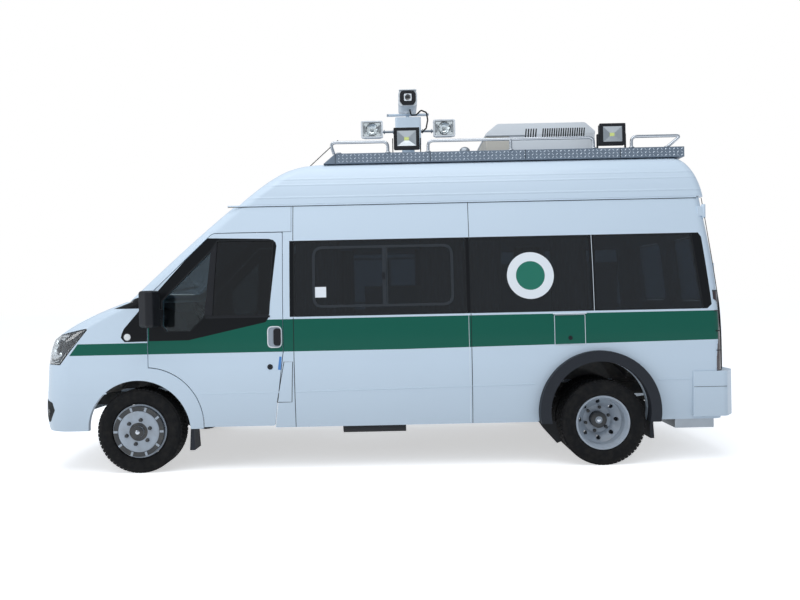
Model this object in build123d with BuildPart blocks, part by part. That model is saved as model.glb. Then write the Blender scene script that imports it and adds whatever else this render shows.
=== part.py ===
"""Environmental monitoring van: a high-roof panel van with twin rear wheels and a roof equipment deck.

Frame: X runs rearwards, Y to the vehicle's right, Z up. The origin is on the ground under the
middle of the vehicle. All lengths are millimetres.
"""

import math
import os

from build123d import *

# ---------------------------------------------------------------- driving dimensions
WHEELBASE = 3750
FRONT_AXLE_X = -1975
REAR_AXLE_X = FRONT_AXLE_X + WHEELBASE
NOSE_X = -2904
TAIL_X = 2810
BUMPER_TAIL_X = 2875
HALF_WIDTH = 987

TYRE_R = 342
TYRE_WIDTH = 185
FRONT_WHEEL_Y = 870
REAR_OUTER_Y = 923
REAR_INNER_Y = 713
KINGPIN_Y = 790
AXLE_Z = TYRE_R

SILL_Z = 350
WAIST_Z = 880
SEAM_Z = 2165
FLOOR_Z = 620
DECK_Z = 2615

WALL = 55
SKIN = 14
GAP = 5

LOWER_SIDE_R = 4322
UPPER_SIDE_R = 7000

# Stations along the side
DOOR_FRONT_X = -1879
DOOR_REAR_X = -792
CAB_SEAM_X = -721
SLIDE_SEAM_X = 715
PANE_SPLIT_X = 1727
CORNER_X = 2560

FRONT_ARCH_R = 415
REAR_ARCH_R = 470
REAR_ARCH_Z = 440

BELT_Z = 1245
PANE_TOP_Z = 1857

PARTS = "parts"
os.makedirs(PARTS, exist_ok=True)


# ---------------------------------------------------------------- helpers
def half_width(z):
    """Half the body's width at height z: two large arcs that meet, upright, at the waist."""
    if z < WAIST_Z:
        return HALF_WIDTH - (WAIST_Z - z) ** 2 / (2 * LOWER_SIDE_R)
    return HALF_WIDTH - (z - WAIST_Z) ** 2 / (2 * UPPER_SIDE_R)


def save(part, name):
    """Labels a finished piece and writes its STEP file."""
    part.label = name
    export_step(part, f"{PARTS}/{name}.step")


def mirrored(part):
    """The same piece on the right-hand side of the vehicle."""
    return mirror(part, about=Plane.XZ)


def both_sides(part):
    """A left-hand piece and its mirror image, as one part."""
    with BuildPart() as pair:
        add(part)
        add(mirrored(part))
    return pair.part


def outline(points, radius, plane=Plane.XZ):
    """A closed face with rounded corners. On Plane.XZ the points are (x, z)."""
    with BuildSketch(plane) as face:
        with BuildLine():
            FilletPolyline(*points, radius=radius, close=True)
        make_face()
    return face.sketch


def side_prism(points, radius=1):
    """A prism through the left side of the vehicle, from the middle plane outwards."""
    with BuildPart() as prism:
        extrude(outline(points, radius), amount=1400, dir=(0, -1, 0))
    return prism.part


def end_prism(points, radius, x_from, x_to):
    """A prism along X with an outline of (y, z) points."""
    with BuildPart() as prism:
        extrude(outline(points, radius, Plane.YZ.offset(x_from)), amount=x_to - x_from, dir=(1, 0, 0))
    return prism.part


def block(x0, x1, y0, y1, z0, z1):
    """A box between two corners, kept out of any open builder."""
    return Pos((x0 + x1) / 2, (y0 + y1) / 2, (z0 + z1) / 2) * Box(
        x1 - x0, y1 - y0, z1 - z0, mode=Mode.PRIVATE
    )


def rod(start, end, radius):
    """A round bar from one point to another."""
    start, end = Vector(*start), Vector(*end)
    axis = Plane(origin=start, z_dir=end - start)
    with BuildPart() as bar:
        with BuildSketch(axis):
            Circle(radius)
        extrude(amount=(end - start).length)
    return bar.part


def joined(first, *others):
    """Several touching pieces as one part."""
    with BuildPart() as whole:
        add(first)
        for other in others:
            add(other)
    return whole.part


def common(first, *others):
    """What several parts have in common."""
    with BuildPart() as shared:
        add(first)
        for other in others:
            add(other, mode=Mode.INTERSECT)
    return shared.part


def cut(first, *tools):
    """A part with others taken away."""
    with BuildPart() as rest:
        add(first)
        for tool in tools:
            add(tool, mode=Mode.SUBTRACT)
    return rest.part


# ---------------------------------------------------------------- body surfaces
def side_wall(x0, x1, z0, z1, outer=0, inner=WALL):
    """The left side wall between two depths under the outer skin, straight along X."""
    z_mid = (z0 + z1) / 2

    def at(z, depth):
        return (-(half_width(z) - depth), z)

    with BuildPart() as wall:
        with BuildSketch(Plane.YZ.offset(x0)):
            with BuildLine():
                ThreePointArc(at(z0, outer), at(z_mid, outer), at(z1, outer))
                Line(at(z1, outer), at(z1, inner))
                ThreePointArc(at(z1, inner), at(z_mid, inner), at(z0, inner))
                Line(at(z0, inner), at(z0, outer))
            make_face()
        extrude(amount=x1 - x0)
    return wall.part


def tall_wall(x0, x1, outer=0, inner=WALL):
    """The left side wall from sill to roof seam: below and above the waist."""
    return joined(
        side_wall(x0, x1, SILL_Z, WAIST_Z, outer, inner),
        side_wall(x0, x1, WAIST_Z, SEAM_Z, outer, inner),
    )


def nose_section(z, nose, back, inset, bow, corner):
    """A horizontal section of the front of the body: bowed front, round corners, straight sides."""
    half = half_width(z) - inset
    front = nose + inset * 1.2
    sag = bow - math.sqrt(bow**2 - half**2)
    with BuildSketch(Plane.XY.offset(z)) as section:
        with BuildLine():
            ThreePointArc((front + sag, -half), (front, 0), (front + sag, half))
            Line((front + sag, half), (back, half))
            Line((back, half), (back, -half))
            Line((back, -half), (front + sag, -half))
        make_face()
        fillet(section.vertices().group_by(Axis.X)[0], radius=corner - inset)
    return section.sketch


def nose_body(levels, inset=0, back=-700, bow=3000):
    """A smooth solid through nose sections at (z, nose x, corner radius) levels."""
    with BuildPart() as body:
        for z, nose, corner in levels:
            add(nose_section(z, nose, back, inset, bow, corner))
        loft()
    return body.part


LOWER_NOSE = [
    (300, -2872, 250),
    (400, NOSE_X, 270),
    (704, -2896, 280),
    (900, -2880, 280),
    (1095, -2822, 260),
]
UPPER_NOSE = [
    (1095, -2822, 260),
    (1230, -2612, 240),
    (1336, -2375, 220),
    (1400, -2200, 200),
]
SCREEN = [(1395, -2172, 160), (1640, -1905, 160), (1926, -1585, 160), (SEAM_Z, -1300, 150)]


def nose_shell(levels, depth, outer=0, **kwargs):
    return cut(nose_body(levels, outer, **kwargs), nose_body(levels, depth, **kwargs))


def tail_section(z, tail, inset, corner, front=DOOR_REAR_X + 5, bow=9000):
    """A horizontal section of the rear of the body."""
    half = half_width(z) - inset
    back = tail - inset
    sag = bow - math.sqrt(bow**2 - half**2)
    with BuildSketch(Plane.XY.offset(z)) as section:
        with BuildLine():
            ThreePointArc((back - sag, half), (back, 0), (back - sag, -half))
            Line((back - sag, -half), (front, -half))
            Line((front, -half), (front, half))
            Line((front, half), (back - sag, half))
        make_face()
        fillet(section.vertices().group_by(Axis.X)[-1], radius=corner - inset)
    return section.sketch


TAIL = [
    (SILL_Z, TAIL_X + 8, 85),
    (1000, TAIL_X, 85),
    (1440, 2788, 85),
    (1712, 2758, 85),
    (SEAM_Z, 2697, 85),
]


def tail_body(inset=0):
    with BuildPart() as body:
        for z, tail, corner in TAIL:
            add(tail_section(z, tail, inset, corner))
        loft()
    return body.part


# ---------------------------------------------------------------- outlines on the side
ARCH_FACE_R = 460  # the fender's flare, which the door's lower corner follows

DOOR_OUTLINE = [
    (DOOR_FRONT_X, 365),
    (DOOR_FRONT_X, 1430),
    (-1372, 1925),
    (-1345, 1935),
    (DOOR_REAR_X, 1935),
    (DOOR_REAR_X, 975),
    (-873, 365),
]
DOOR_WINDOW = [
    (-1771, 1195),
    (-1771, 1398),
    (-1375, 1800),
    (-1322, 1880),
    (-859, 1876),
    (-898, 1263),
    (-1415, 1263),
    (-1535, 1143),
    (-1735, 1143),
]
PANES = [
    [(-700, BELT_Z), (-700, PANE_TOP_Z), (702, PANE_TOP_Z), (702, BELT_Z)],
    [(728, BELT_Z), (728, PANE_TOP_Z), (PANE_SPLIT_X - 13, PANE_TOP_Z), (PANE_SPLIT_X - 13, BELT_Z)],
    [(PANE_SPLIT_X + 13, BELT_Z), (PANE_SPLIT_X + 13, PANE_TOP_Z), (2545, PANE_TOP_Z), (2610, BELT_Z)],
]
HEADLAMP_OUTLINE = [
    (-2367, 1183),
    (-2600, 897),
    (-3000, 897),
    (-3000, 1100),
    (-2760, 1106),
]


def grown(points, radius, by, plane=Plane.XZ):
    """The outline of these points, moved outwards (or inwards) by a distance."""
    with BuildSketch(plane) as face:
        with BuildLine():
            FilletPolyline(*points, radius=radius, close=True)
        make_face()
        offset(amount=by, kind=Kind.INTERSECTION)
    return face.sketch


def grown_prism(points, radius, by, plane=Plane.XZ, length=1400):
    with BuildPart() as prism:
        extrude(grown(points, radius, by, plane), amount=length, dir=plane.z_dir)
    return prism.part


def wheel_cylinder(x, z, radius, y_outer, y_inner):
    """A disc across the vehicle, between two distances left of the middle."""
    with BuildPart() as disc:
        with BuildSketch(Plane.XZ.offset(y_inner)):
            with Locations((x, z)):
                Circle(radius)
        extrude(amount=y_outer - y_inner)
    return disc.part


def door_solid(by):
    """A prism of the front door's outline: upright front, sloped pillar, round over the wheel."""
    return cut(
        grown_prism(DOOR_OUTLINE, 12, by),
        wheel_cylinder(FRONT_AXLE_X + 65, 400, ARCH_FACE_R + 3 - by, 1500, 0),
    )


# ---------------------------------------------------------------- side walls and rear corners
rear_door_outline = [(-5, 752), (-800, 752), (-800, 1500), (-735, 2154), (-5, 2154)]
tail_shell = cut(tail_body(0), tail_body(WALL))
front_gap_upper = block(-788, CAB_SEAM_X + 3, -1100, 1100, 1938, 2200)
left_half = block(-800, 3000, -1100, 0, 300, 2160)
rear_arch_cut = wheel_cylinder(1750, REAR_ARCH_Z, 400, 1300, 700)
middle_valance = block(2600, 3000, -812, 812, 300, 752)
rear_opening = end_prism([(-3, 745), (-806, 745), (-806, 1503), (-741, 2200), (-3, 2200)], 1, 2500, 3000)

with BuildPart() as side_blank:
    add(tail_shell)
    add(block(-800, 3000, -1100, 0, SILL_Z, 2160), mode=Mode.INTERSECT)
    add(front_gap_upper, mode=Mode.SUBTRACT)
    add(rear_opening, mode=Mode.SUBTRACT)
    add(middle_valance, mode=Mode.SUBTRACT)
    add(block(2600, 3000, -10, 10, 300, 2200), mode=Mode.SUBTRACT)
    add(rear_arch_cut, mode=Mode.SUBTRACT)
    for pane in PANES[1:]:
        add(grown_prism(pane, 20, 0), mode=Mode.SUBTRACT)

HATCH = (1407, 1647, 978, 1213)
hatch_prism = side_prism(
    [(HATCH[0] - 5, HATCH[2] - 5), (HATCH[0] - 5, HATCH[3] + 3), (HATCH[1] + 5, HATCH[3] + 3), (HATCH[1] + 5, HATCH[2] - 5)], 8
)
hatch_layer = side_wall(1300, 1750, 900, 1300, -5, 42)
slide_points = [(-640, 425), (-640, 2085), (SLIDE_SEAM_X - 10, 2085), (SLIDE_SEAM_X - 10, 425)]

with BuildPart() as body_side_left:
    add(side_blank.part)
    add(grown_prism(PANES[0], 20, 0), mode=Mode.SUBTRACT)
    add(common(hatch_layer, hatch_prism), mode=Mode.SUBTRACT)
save(body_side_left.part, "body_side_left")

with BuildPart() as side_right_as_left:
    add(side_blank.part)
    add(grown_prism(slide_points, 40, 5), mode=Mode.SUBTRACT)
save(mirrored(side_right_as_left.part), "body_side_right")

with BuildPart() as sliding_as_left:
    add(tail_shell)
    add(grown_prism(slide_points, 40, 0), mode=Mode.INTERSECT)
    add(grown_prism([(-600, BELT_Z), (-600, PANE_TOP_Z), (660, PANE_TOP_Z), (660, BELT_Z)], 40, 0), mode=Mode.SUBTRACT)
save(mirrored(sliding_as_left.part), "sliding_door")

with BuildPart() as hatch_flap:
    add(side_wall(1300, 1750, 900, 1300, 0, 12))
    add(side_prism([(HATCH[0], HATCH[2]), (HATCH[0], HATCH[3]), (HATCH[1], HATCH[3]), (HATCH[1], HATCH[2])], 6), mode=Mode.INTERSECT)
save(hatch_flap.part, "socket_flap")

# ---------------------------------------------------------------- rear doors
door_leaf = cut(tail_body(0), tail_body(50))
with BuildPart() as rear_door_left:
    add(door_leaf)
    add(end_prism(rear_door_outline, 10, 2500, 3000), mode=Mode.INTERSECT)
    add(
        end_prism([(-120, 1300), (-700, 1300), (-675, 1860), (-120, 1860)], 60, 2500, 3000),
        mode=Mode.SUBTRACT,
    )
save(rear_door_left.part, "rear_door_left")
save(mirrored(rear_door_left.part), "rear_door_right")
pane_leaf = cut(tail_body(4), tail_body(9))
with BuildPart() as rear_glass_left:
    add(pane_leaf)
    add(end_prism([(-123, 1303), (-697, 1303), (-672, 1857), (-123, 1857)], 57, 2500, 3000), mode=Mode.INTERSECT)
save(rear_glass_left.part, "rear_glass_left")
save(mirrored(rear_glass_left.part), "rear_glass_right")

# ---------------------------------------------------------------- cab frame: pillars, header, scuttle, bulkhead
screen_shell = nose_shell(SCREEN, 50, back=CAB_SEAM_X, bow=3600)
windscreen_outline = [(-780, 1450), (-700, 2090), (700, 2090), (780, 1450)]
with BuildPart() as scuttle:
    extrude(nose_section(1395, -2172, -1700, 18, 3600, 160), amount=25, dir=(0, 0, -1))
    add(block(-2300, -1960, -1100, 1100, 1300, 1400), mode=Mode.INTERSECT)

with BuildPart() as cab_frame:
    add(screen_shell)
    add(block(-2400, -700, -1100, 1100, 1395, 2160), mode=Mode.INTERSECT)
    add(end_prism(windscreen_outline, 60, -2500, -1150), mode=Mode.SUBTRACT)
    for door in (door_solid(6), mirrored(door_solid(6))):
        add(door, mode=Mode.SUBTRACT)
    add(block(-1250, -700, -1100, 1100, 1390, 1942), mode=Mode.SUBTRACT)
    add(scuttle.part)
save(cab_frame.part, "cab_frame")

with BuildPart() as bulkhead:
    with BuildSketch(Plane.YZ.offset(-2075)):
        with BuildLine():
            Polyline((-860, 1366), (-860, 785), (-555, 785), (-555, 641), (555, 641), (555, 785), (860, 785), (860, 1366), close=True)
        make_face()
    extrude(amount=20)

with BuildPart() as windscreen:
    add(nose_body(SCREEN, 2, back=CAB_SEAM_X, bow=3600))
    add(nose_body(SCREEN, 8, back=CAB_SEAM_X, bow=3600), mode=Mode.SUBTRACT)
    add(
        end_prism([(-776, 1454), (-696, 2086), (696, 2086), (776, 1454)], 57, -2500, -1150),
        mode=Mode.INTERSECT,
    )

side_glass_layer = cut(tail_body(1), tail_body(6))
with BuildPart() as side_glass:
    for pane in PANES[1:]:
        with BuildPart(mode=Mode.PRIVATE) as one:
            add(side_glass_layer)
            add(grown_prism(pane, 20, -3), mode=Mode.INTERSECT)
        add(one.part)
        add(mirrored(one.part))
    with BuildPart(mode=Mode.PRIVATE) as front_pane:
        add(side_glass_layer)
        add(grown_prism(PANES[0], 20, -3), mode=Mode.INTERSECT)
    add(front_pane.part)
    with BuildPart(mode=Mode.PRIVATE) as slide_pane:
        add(side_glass_layer)
        add(
            grown_prism([(-600, BELT_Z), (-600, PANE_TOP_Z), (660, PANE_TOP_Z), (660, BELT_Z)], 40, -3),
            mode=Mode.INTERSECT,
        )
    add(mirrored(slide_pane.part))
save(joined(windscreen.part, side_glass.part), "body_glass")

# ---------------------------------------------------------------- high roof
CAP = [
    (2168, -1268, 868, 2697, 150),
    (2310, -1100, 846, 2664, 170),
    (2406, -970, 812, 2626, 190),
    (2471, -860, 768, 2590, 200),
    (2520, -700, 690, 2540, 200),
]


def cap_body(inset):
    with BuildPart() as cap:
        for z, front, half, rear, corner in CAP:
            x0, x1, w = front + inset * 1.3, rear - inset, half - inset
            sag = 3600 - math.sqrt(3600**2 - w**2)
            with BuildSketch(Plane.XY.offset(z - (inset if z > 2200 else 0))) as section:
                with BuildLine():
                    ThreePointArc((x0 + sag, -w), (x0, 0), (x0 + sag, w))
                    Line((x0 + sag, w), (x1, w))
                    Line((x1, w), (x1, -w))
                    Line((x1, -w), (x0 + sag, -w))
                make_face()
                fillet(section.vertices().group_by(Axis.X)[0], radius=corner - inset)
                fillet(section.vertices().group_by(Axis.X)[-1], radius=85 - inset)
        loft()
    return cap.part


with BuildPart() as roof_cap:
    add(cap_body(0))
    add(cap_body(35), mode=Mode.SUBTRACT)
save(roof_cap.part, "roof_cap")

# ---------------------------------------------------------------- nose: bumper, fenders, bonnet, grille, lamps
lower_skin = nose_shell(LOWER_NOSE, SKIN, back=-1885)
upper_skin = nose_shell(UPPER_NOSE, SKIN, back=-1885)
wheel_opening = wheel_cylinder(FRONT_AXLE_X, AXLE_Z, FRONT_ARCH_R, 1300, 500)
wheel_openings = both_sides(wheel_opening)
lamp_prism = side_prism(HEADLAMP_OUTLINE, 5)
lamp_hole = grown_prism(HEADLAMP_OUTLINE, 5, 4)
lamp_keep = block(-3100, -2200, -1100, -480, 800, 1300)
lamp_cut = common(lamp_hole, block(-3100, -2200, -1100, -476, 800, 1300))
bonnet_outline = [(-3000, -560), (-2640, -660), (-2250, -770), (-2000, -790), (-2000, 790), (-2250, 770), (-2640, 660), (-3000, 560)]
grille_cut = block(-3100, -2600, -474, 474, 897, 1090)


def plan_prism(points, radius, by, z0, z1):
    with BuildPart() as prism:
        extrude(grown(points, radius, by, Plane.XY.offset(z0)), amount=z1 - z0, dir=(0, 0, 1))
    return prism.part


with BuildPart() as arch_lip:
    add(side_wall(-1890, -1440, 352, 878, 0, SKIN))
    add(wheel_cylinder(-1910, 400, ARCH_FACE_R - 4, 1300, 500), mode=Mode.INTERSECT)
    add(wheel_opening, mode=Mode.SUBTRACT)

with BuildPart() as front_fenders:
    add(lower_skin)
    add(block(-3100, -1885, -1100, 1100, 660, 1095), mode=Mode.INTERSECT)
    add(upper_skin)
    add(arch_lip.part)
    add(mirrored(arch_lip.part))
    add(block(-3100, -1000, -1100, 1100, 1391, 1500), mode=Mode.SUBTRACT)
    for tool in (lamp_cut, mirrored(lamp_cut), wheel_openings, grille_cut):
        add(tool, mode=Mode.SUBTRACT)
    add(plan_prism(bonnet_outline, 10, 4, 1098, 1500), mode=Mode.SUBTRACT)
    add(block(-3100, -2600, -600, 600, 1080, 1500), mode=Mode.SUBTRACT)
    add(block(-3100, -2600, -476, 476, 600, 1500), mode=Mode.SUBTRACT)
save(front_fenders.part, "front_fenders")

with BuildPart() as bonnet:
    add(upper_skin)
    add(plan_prism(bonnet_outline, 10, 0, 1102, 1392), mode=Mode.INTERSECT)
    add(lamp_cut, mode=Mode.SUBTRACT)
    add(mirrored(lamp_cut), mode=Mode.SUBTRACT)
save(bonnet.part, "bonnet")

with BuildPart() as front_bumper:
    add(nose_shell(LOWER_NOSE, 40, back=-1885))
    add(block(-3100, FRONT_AXLE_X, -1100, 1100, 350, 656), mode=Mode.INTERSECT)
    add(wheel_openings, mode=Mode.SUBTRACT)
    add(block(-3100, -2600, -560, 560, 455, 610), mode=Mode.SUBTRACT)
save(front_bumper.part, "front_bumper")

with BuildPart() as grille:
    add(nose_body(LOWER_NOSE, 6, back=-2200))
    add(nose_body(LOWER_NOSE, 36, back=-2200), mode=Mode.SUBTRACT)
    add(block(-3100, -2600, -470, 470, 664, 1086), mode=Mode.INTERSECT)
save(grille.part, "grille")

with BuildPart() as headlamp_left:
    add(joined(nose_body(LOWER_NOSE, 1), nose_body(UPPER_NOSE, 1)))
    add(joined(nose_body(LOWER_NOSE, 60), nose_body(UPPER_NOSE, 60)), mode=Mode.SUBTRACT)
    add(lamp_prism, mode=Mode.INTERSECT)
    add(lamp_keep, mode=Mode.INTERSECT)
save(both_sides(headlamp_left.part), "headlamps")

# ---------------------------------------------------------------- front doors
door_inner_layer = joined(side_wall(-1900, -780, 360, WAIST_Z, 18, 70), side_wall(-1900, -780, WAIST_Z, 1940, 18, 70))
door_outer_layer = joined(side_wall(-1900, -780, 360, WAIST_Z, 0, 18), side_wall(-1900, -780, WAIST_Z, 1940, 0, 18))
with BuildPart() as front_door_left:
    add(common(door_outer_layer, door_solid(0)))
    add(common(door_inner_layer, door_solid(-24)))
    add(grown_prism(DOOR_WINDOW, 25, 0), mode=Mode.SUBTRACT)
save(front_door_left.part, "front_door_left")
save(mirrored(front_door_left.part), "front_door_right")

with BuildPart() as front_door_glass_left:
    add(side_wall(-1900, -780, WAIST_Z, 1940, 8, 13))
    add(grown_prism(DOOR_WINDOW, 25, -3), mode=Mode.INTERSECT)
save(front_door_glass_left.part, "front_door_glass_left")
save(mirrored(front_door_glass_left.part), "front_door_glass_right")

with BuildPart() as mirror_left:
    with BuildSketch(Plane.XY.offset(1190)):
        with BuildLine():
            FilletPolyline((-1745, -1050), (-1745, -1222), (-1800, -1228), (-1880, -1165), (-1850, -1090), (-1800, -1050), radius=22, close=True)
        make_face()
    extrude(amount=288)
    fillet(mirror_left.edges().group_by(Axis.Z)[-1], radius=25)
    fillet(mirror_left.edges().group_by(Axis.Z)[0], radius=25)
    with BuildSketch(Plane.XZ.offset(967)):
        with BuildLine():
            FilletPolyline((-1800, 1250), (-1800, 1330), (-1752, 1330), (-1752, 1250), radius=15, close=True)
        make_face()
    extrude(amount=100)
mirror_left_part = cut(mirror_left.part, joined(side_wall(-1900, -1700, 1150, 1400, 0, 60)))
save(mirror_left_part, "mirror_left")
save(mirrored(mirror_left_part), "mirror_right")

# ---------------------------------------------------------------- floor, chassis and engine
FLOOR_HALF = 915
front_tub_outer = wheel_cylinder(FRONT_AXLE_X, AXLE_Z, 437, 878, 560)
front_tub_hole = wheel_cylinder(FRONT_AXLE_X, AXLE_Z, 425, 1200, 572)
rear_tub_outer = wheel_cylinder(REAR_AXLE_X, REAR_ARCH_Z, 400, 918, 560)
rear_tub_hole = wheel_cylinder(REAR_AXLE_X, REAR_ARCH_Z, 388, 1200, 572)
with BuildPart() as floor_pan:
    add(bulkhead.part)
    with BuildSketch(Plane.XY.offset(640)):
        with BuildLine():
            Polyline((-2060, -568), (-1545, -568), (-1545, -870), (-780, -870), (-780, -912), (2690, -912), (2690, 912), (-780, 912), (-780, 870), (-1545, 870), (-1545, 568), (-2060, 568), close=True)
        make_face()
    extrude(amount=60)
    for tool in (rear_tub_outer, mirrored(rear_tub_outer), front_tub_outer, mirrored(front_tub_outer)):
        add(tool, mode=Mode.SUBTRACT)
    add(common(rear_tub_outer, block(1200, 2300, -1000, 0, 640, 1000)))
    add(mirrored(common(rear_tub_outer, block(1200, 2300, -1000, 0, 640, 1000))))
    add(common(front_tub_outer, block(-2500, -1500, -1000, 0, 641, 1000)))
    add(mirrored(common(front_tub_outer, block(-2500, -1500, -1000, 0, 641, 1000))))
    for tool in (rear_tub_hole, mirrored(rear_tub_hole), front_tub_hole, mirrored(front_tub_hole)):
        add(tool, mode=Mode.SUBTRACT)
save(floor_pan.part, "floor_pan")

with BuildPart() as chassis_frame:
    for side in (-1, 1):
        add(block(-2700, 2640, side * 505 - 30, side * 505 + 30, 500, 600))
    for x in (-2650, -1500, -700, 300, 1200, 2300, 2600):
        add(block(x - 30, x + 30, -480, 480, 515, 585))
save(chassis_frame.part, "chassis_frame")

with BuildPart() as engine_block:
    add(block(-2560, -2120, -230, 230, 606, 1010))
    fillet(engine_block.edges().filter_by(Axis.Y), radius=30)
save(engine_block.part, "engine_block")

with BuildPart() as rear_axle:
    with BuildSketch(Plane.XZ.offset(-690)):
        with Locations((REAR_AXLE_X, AXLE_Z)):
            Circle(48)
    extrude(amount=1380)
    with BuildSketch(Plane.XZ.offset(-600)):
        with Locations((REAR_AXLE_X, AXLE_Z)):
            Circle(68)
    extrude(amount=40)
    with BuildSketch(Plane.XZ.offset(560)):
        with Locations((REAR_AXLE_X, AXLE_Z)):
            Circle(68)
    extrude(amount=40)
    with Locations((REAR_AXLE_X, 0, AXLE_Z)):
        Sphere(150)
save(rear_axle.part, "rear_axle")

with BuildPart() as leaf_spring:
    with BuildSketch(Plane.XZ.offset(475)):
        with BuildLine():
            ThreePointArc((1125, 470), (1775, 392), (2425, 470))
            Line((2425, 470), (2425, 495))
            ThreePointArc((2425, 495), (1775, 432), (1125, 495))
            Line((1125, 495), (1125, 470))
        make_face()
    extrude(amount=60)



with BuildPart() as gearbox:
    with BuildSketch(Plane.YZ.offset(-2000)):
        with Locations((0, 505)):
            RectangleRounded(320, 200, 60)
    with BuildSketch(Plane.YZ.offset(-1300)):
        with Locations((0, 470)):
            RectangleRounded(200, 160, 60)
    loft()
    add(rod((-1310, 0, 470), (1620, 0, 352), 38))
save(cut(gearbox.part, block(-1540, -1460, -600, 600, 500, 600)), "driveline")

with BuildPart() as fuel_tank:
    add(block(-329, 189, -880, -560, 272, 500))
    fillet(fuel_tank.edges().filter_by(Axis.X), radius=60)
save(fuel_tank.part, "fuel_tank")

with BuildPart() as exhaust:
    with BuildLine() as pipe_path:
        FilletPolyline((-1900, 300, 420), (-900, 300, 380), (1150, 300, 380), (1450, 320, 440), (2100, 320, 440), (2560, 380, 380), (2700, 640, 340), radius=90)
    with BuildSketch(Plane(pipe_path.line @ 0, z_dir=pipe_path.line % 0)):
        Circle(28)
    sweep()
    with BuildSketch(Plane.YZ.offset(-600)):
        with Locations((300, 380)):
            Ellipse(120, 75)
    extrude(amount=700)
save(exhaust.part, "exhaust")

with BuildPart() as lower_arm:
    with BuildSketch(Plane.XY.offset(228)):
        with BuildLine():
            FilletPolyline((-2010, -800), (-1940, -800), (-1800, -470), (-1850, -440), (-1975, -640), (-2100, -440), (-2150, -470), radius=18, close=True)
        make_face()
    extrude(amount=30)
with BuildPart() as strut:
    add(rod((FRONT_AXLE_X, -700, 590), (FRONT_AXLE_X, -690, 755), 30))
save(both_sides(joined(lower_arm.part, strut.part, leaf_spring.part)), "suspension")

# ---------------------------------------------------------------- arch flares, bumper, lamps, steps
with BuildPart() as arch_flare:
    with BuildSketch(Plane.XZ.offset(940)):
        with Locations((1750, REAR_ARCH_Z)):
            Circle(485)
            Circle(400, mode=Mode.SUBTRACT)
        with Locations((1750, REAR_ARCH_Z - 400)):
            Rectangle(1400, 620, mode=Mode.SUBTRACT)
    extrude(amount=105)
flare_part = cut(arch_flare.part, side_wall(1200, 2300, 340, WAIST_Z, -1, 90), side_wall(1200, 2300, WAIST_Z, 1000, -1, 90))
with BuildPart() as mudflap_front:
    with BuildSketch(Plane.XZ.offset(790)):
        with BuildLine():
            FilletPolyline((-1560, 425), (-1546, 430), (-1530, 175), (-1575, 175), radius=6, close=True)
        make_face()
    extrude(amount=150)
with BuildPart() as mudflap_rear:
    with BuildSketch(Plane.XZ.offset(610)):
        with BuildLine():
            FilletPolyline((2195, 470), (2210, 470), (2225, 185), (2190, 185), radius=5, close=True)
        make_face()
    extrude(amount=284)
save(both_sides(joined(flare_part, mudflap_front.part, mudflap_rear.part)), "arch_flares_and_mudflaps")

with BuildPart() as rear_bumper:
    with BuildSketch(Plane.XY.offset(376)):
        with BuildLine():
            FilletPolyline((2511, -992), (2780, -992), (2875, -880), (2875, 880), (2780, 992), (2511, 992), radius=60)
            Polyline((2511, 992), (2511, -992))
        make_face()
    extrude(amount=364)
bumper_part = cut(rear_bumper.part, tail_body(-2), block(2400, 2830, -760, 760, 300, 800))
save(bumper_part, "rear_bumper")

with BuildPart() as tail_lamp:
    add(tail_body(-12))
    add(tail_body(-1), mode=Mode.SUBTRACT)
    add(block(2600, 3000, -1100, -852, 752, 1388), mode=Mode.INTERSECT)
    add(block(2762, 3000, -1100, -852, 752, 1388), mode=Mode.INTERSECT)
save(both_sides(tail_lamp.part), "tail_lamps")

with BuildPart() as rear_step:
    add(block(2860, 2908, -700, 700, 382, 471))
    for side in (-1, 1):
        add(block(2645, 2861, side * 505 - 25, side * 505 + 25, 395, 455))
        add(block(2645, 2705, side * 505 - 25, side * 505 + 25, 395, 630))
step_part = cut(rear_step.part, bumper_part)
save(step_part, "rear_step")

with BuildPart() as wipers:
    for y0, y1 in ((-560, 60), (80, 640)):
        lift = nose_body([(z, x - 7, r) for z, x, r in SCREEN], 0, back=CAB_SEAM_X, bow=3600)
        outer_lift = nose_body([(z, x - 19, r) for z, x, r in SCREEN], 0, back=CAB_SEAM_X, bow=3600)
        with BuildPart(mode=Mode.PRIVATE) as blade:
            add(outer_lift)
            add(lift, mode=Mode.SUBTRACT)
            extrude(
                outline([(y0, 1462), (y0 + 8, 1480), (y1, 1545), (y1 + 4, 1527)], 5, Plane.YZ.offset(-2500)),
                amount=1200, dir=(1, 0, 0), mode=Mode.INTERSECT,
            )
        add(blade.part)
save(wipers.part, "wipers")

with BuildPart() as curtains:
    for x0, x1 in ((-690, -330), (330, 690), (740, 1000), (1400, 1700)):
        add(side_wall(x0, x1, 1215, 1890, 66, 84))
save(curtains.part, "curtains")

# ---------------------------------------------------------------- cab interior
with BuildPart() as dashboard:
    with BuildSketch(Plane.XZ.offset(-850)):
        with BuildLine():
            FilletPolyline((-2045, 990), (-2045, 1362), (-1900, 1375), (-1660, 1300), (-1600, 1200), (-1640, 1010), (-1760, 960), radius=40)
            Polyline((-1760, 960), (-2045, 990))
        make_face()
    extrude(amount=1700)

with BuildPart() as seat:
    with BuildSketch(Plane.XZ.offset(250)):
        with BuildLine():
            FilletPolyline((-1480, 701), (-1500, 1000), (-1460, 1040), (-1040, 1010), (-900, 1620), (-820, 1610), (-900, 960), (-920, 701), radius=30, close=True)
        make_face()
    extrude(amount=480)
with BuildPart() as passenger_seat:
    add(mirrored(seat.part))
    with BuildSketch(Plane.XZ.offset(-240)):
        with BuildLine():
            FilletPolyline((-1480, 701), (-1500, 1000), (-1460, 1040), (-1040, 1010), (-900, 1620), (-820, 1610), (-900, 960), (-920, 701), radius=30, close=True)
        make_face()
    extrude(amount=400)
save(joined(seat.part, passenger_seat.part), "cab_seats")

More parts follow.
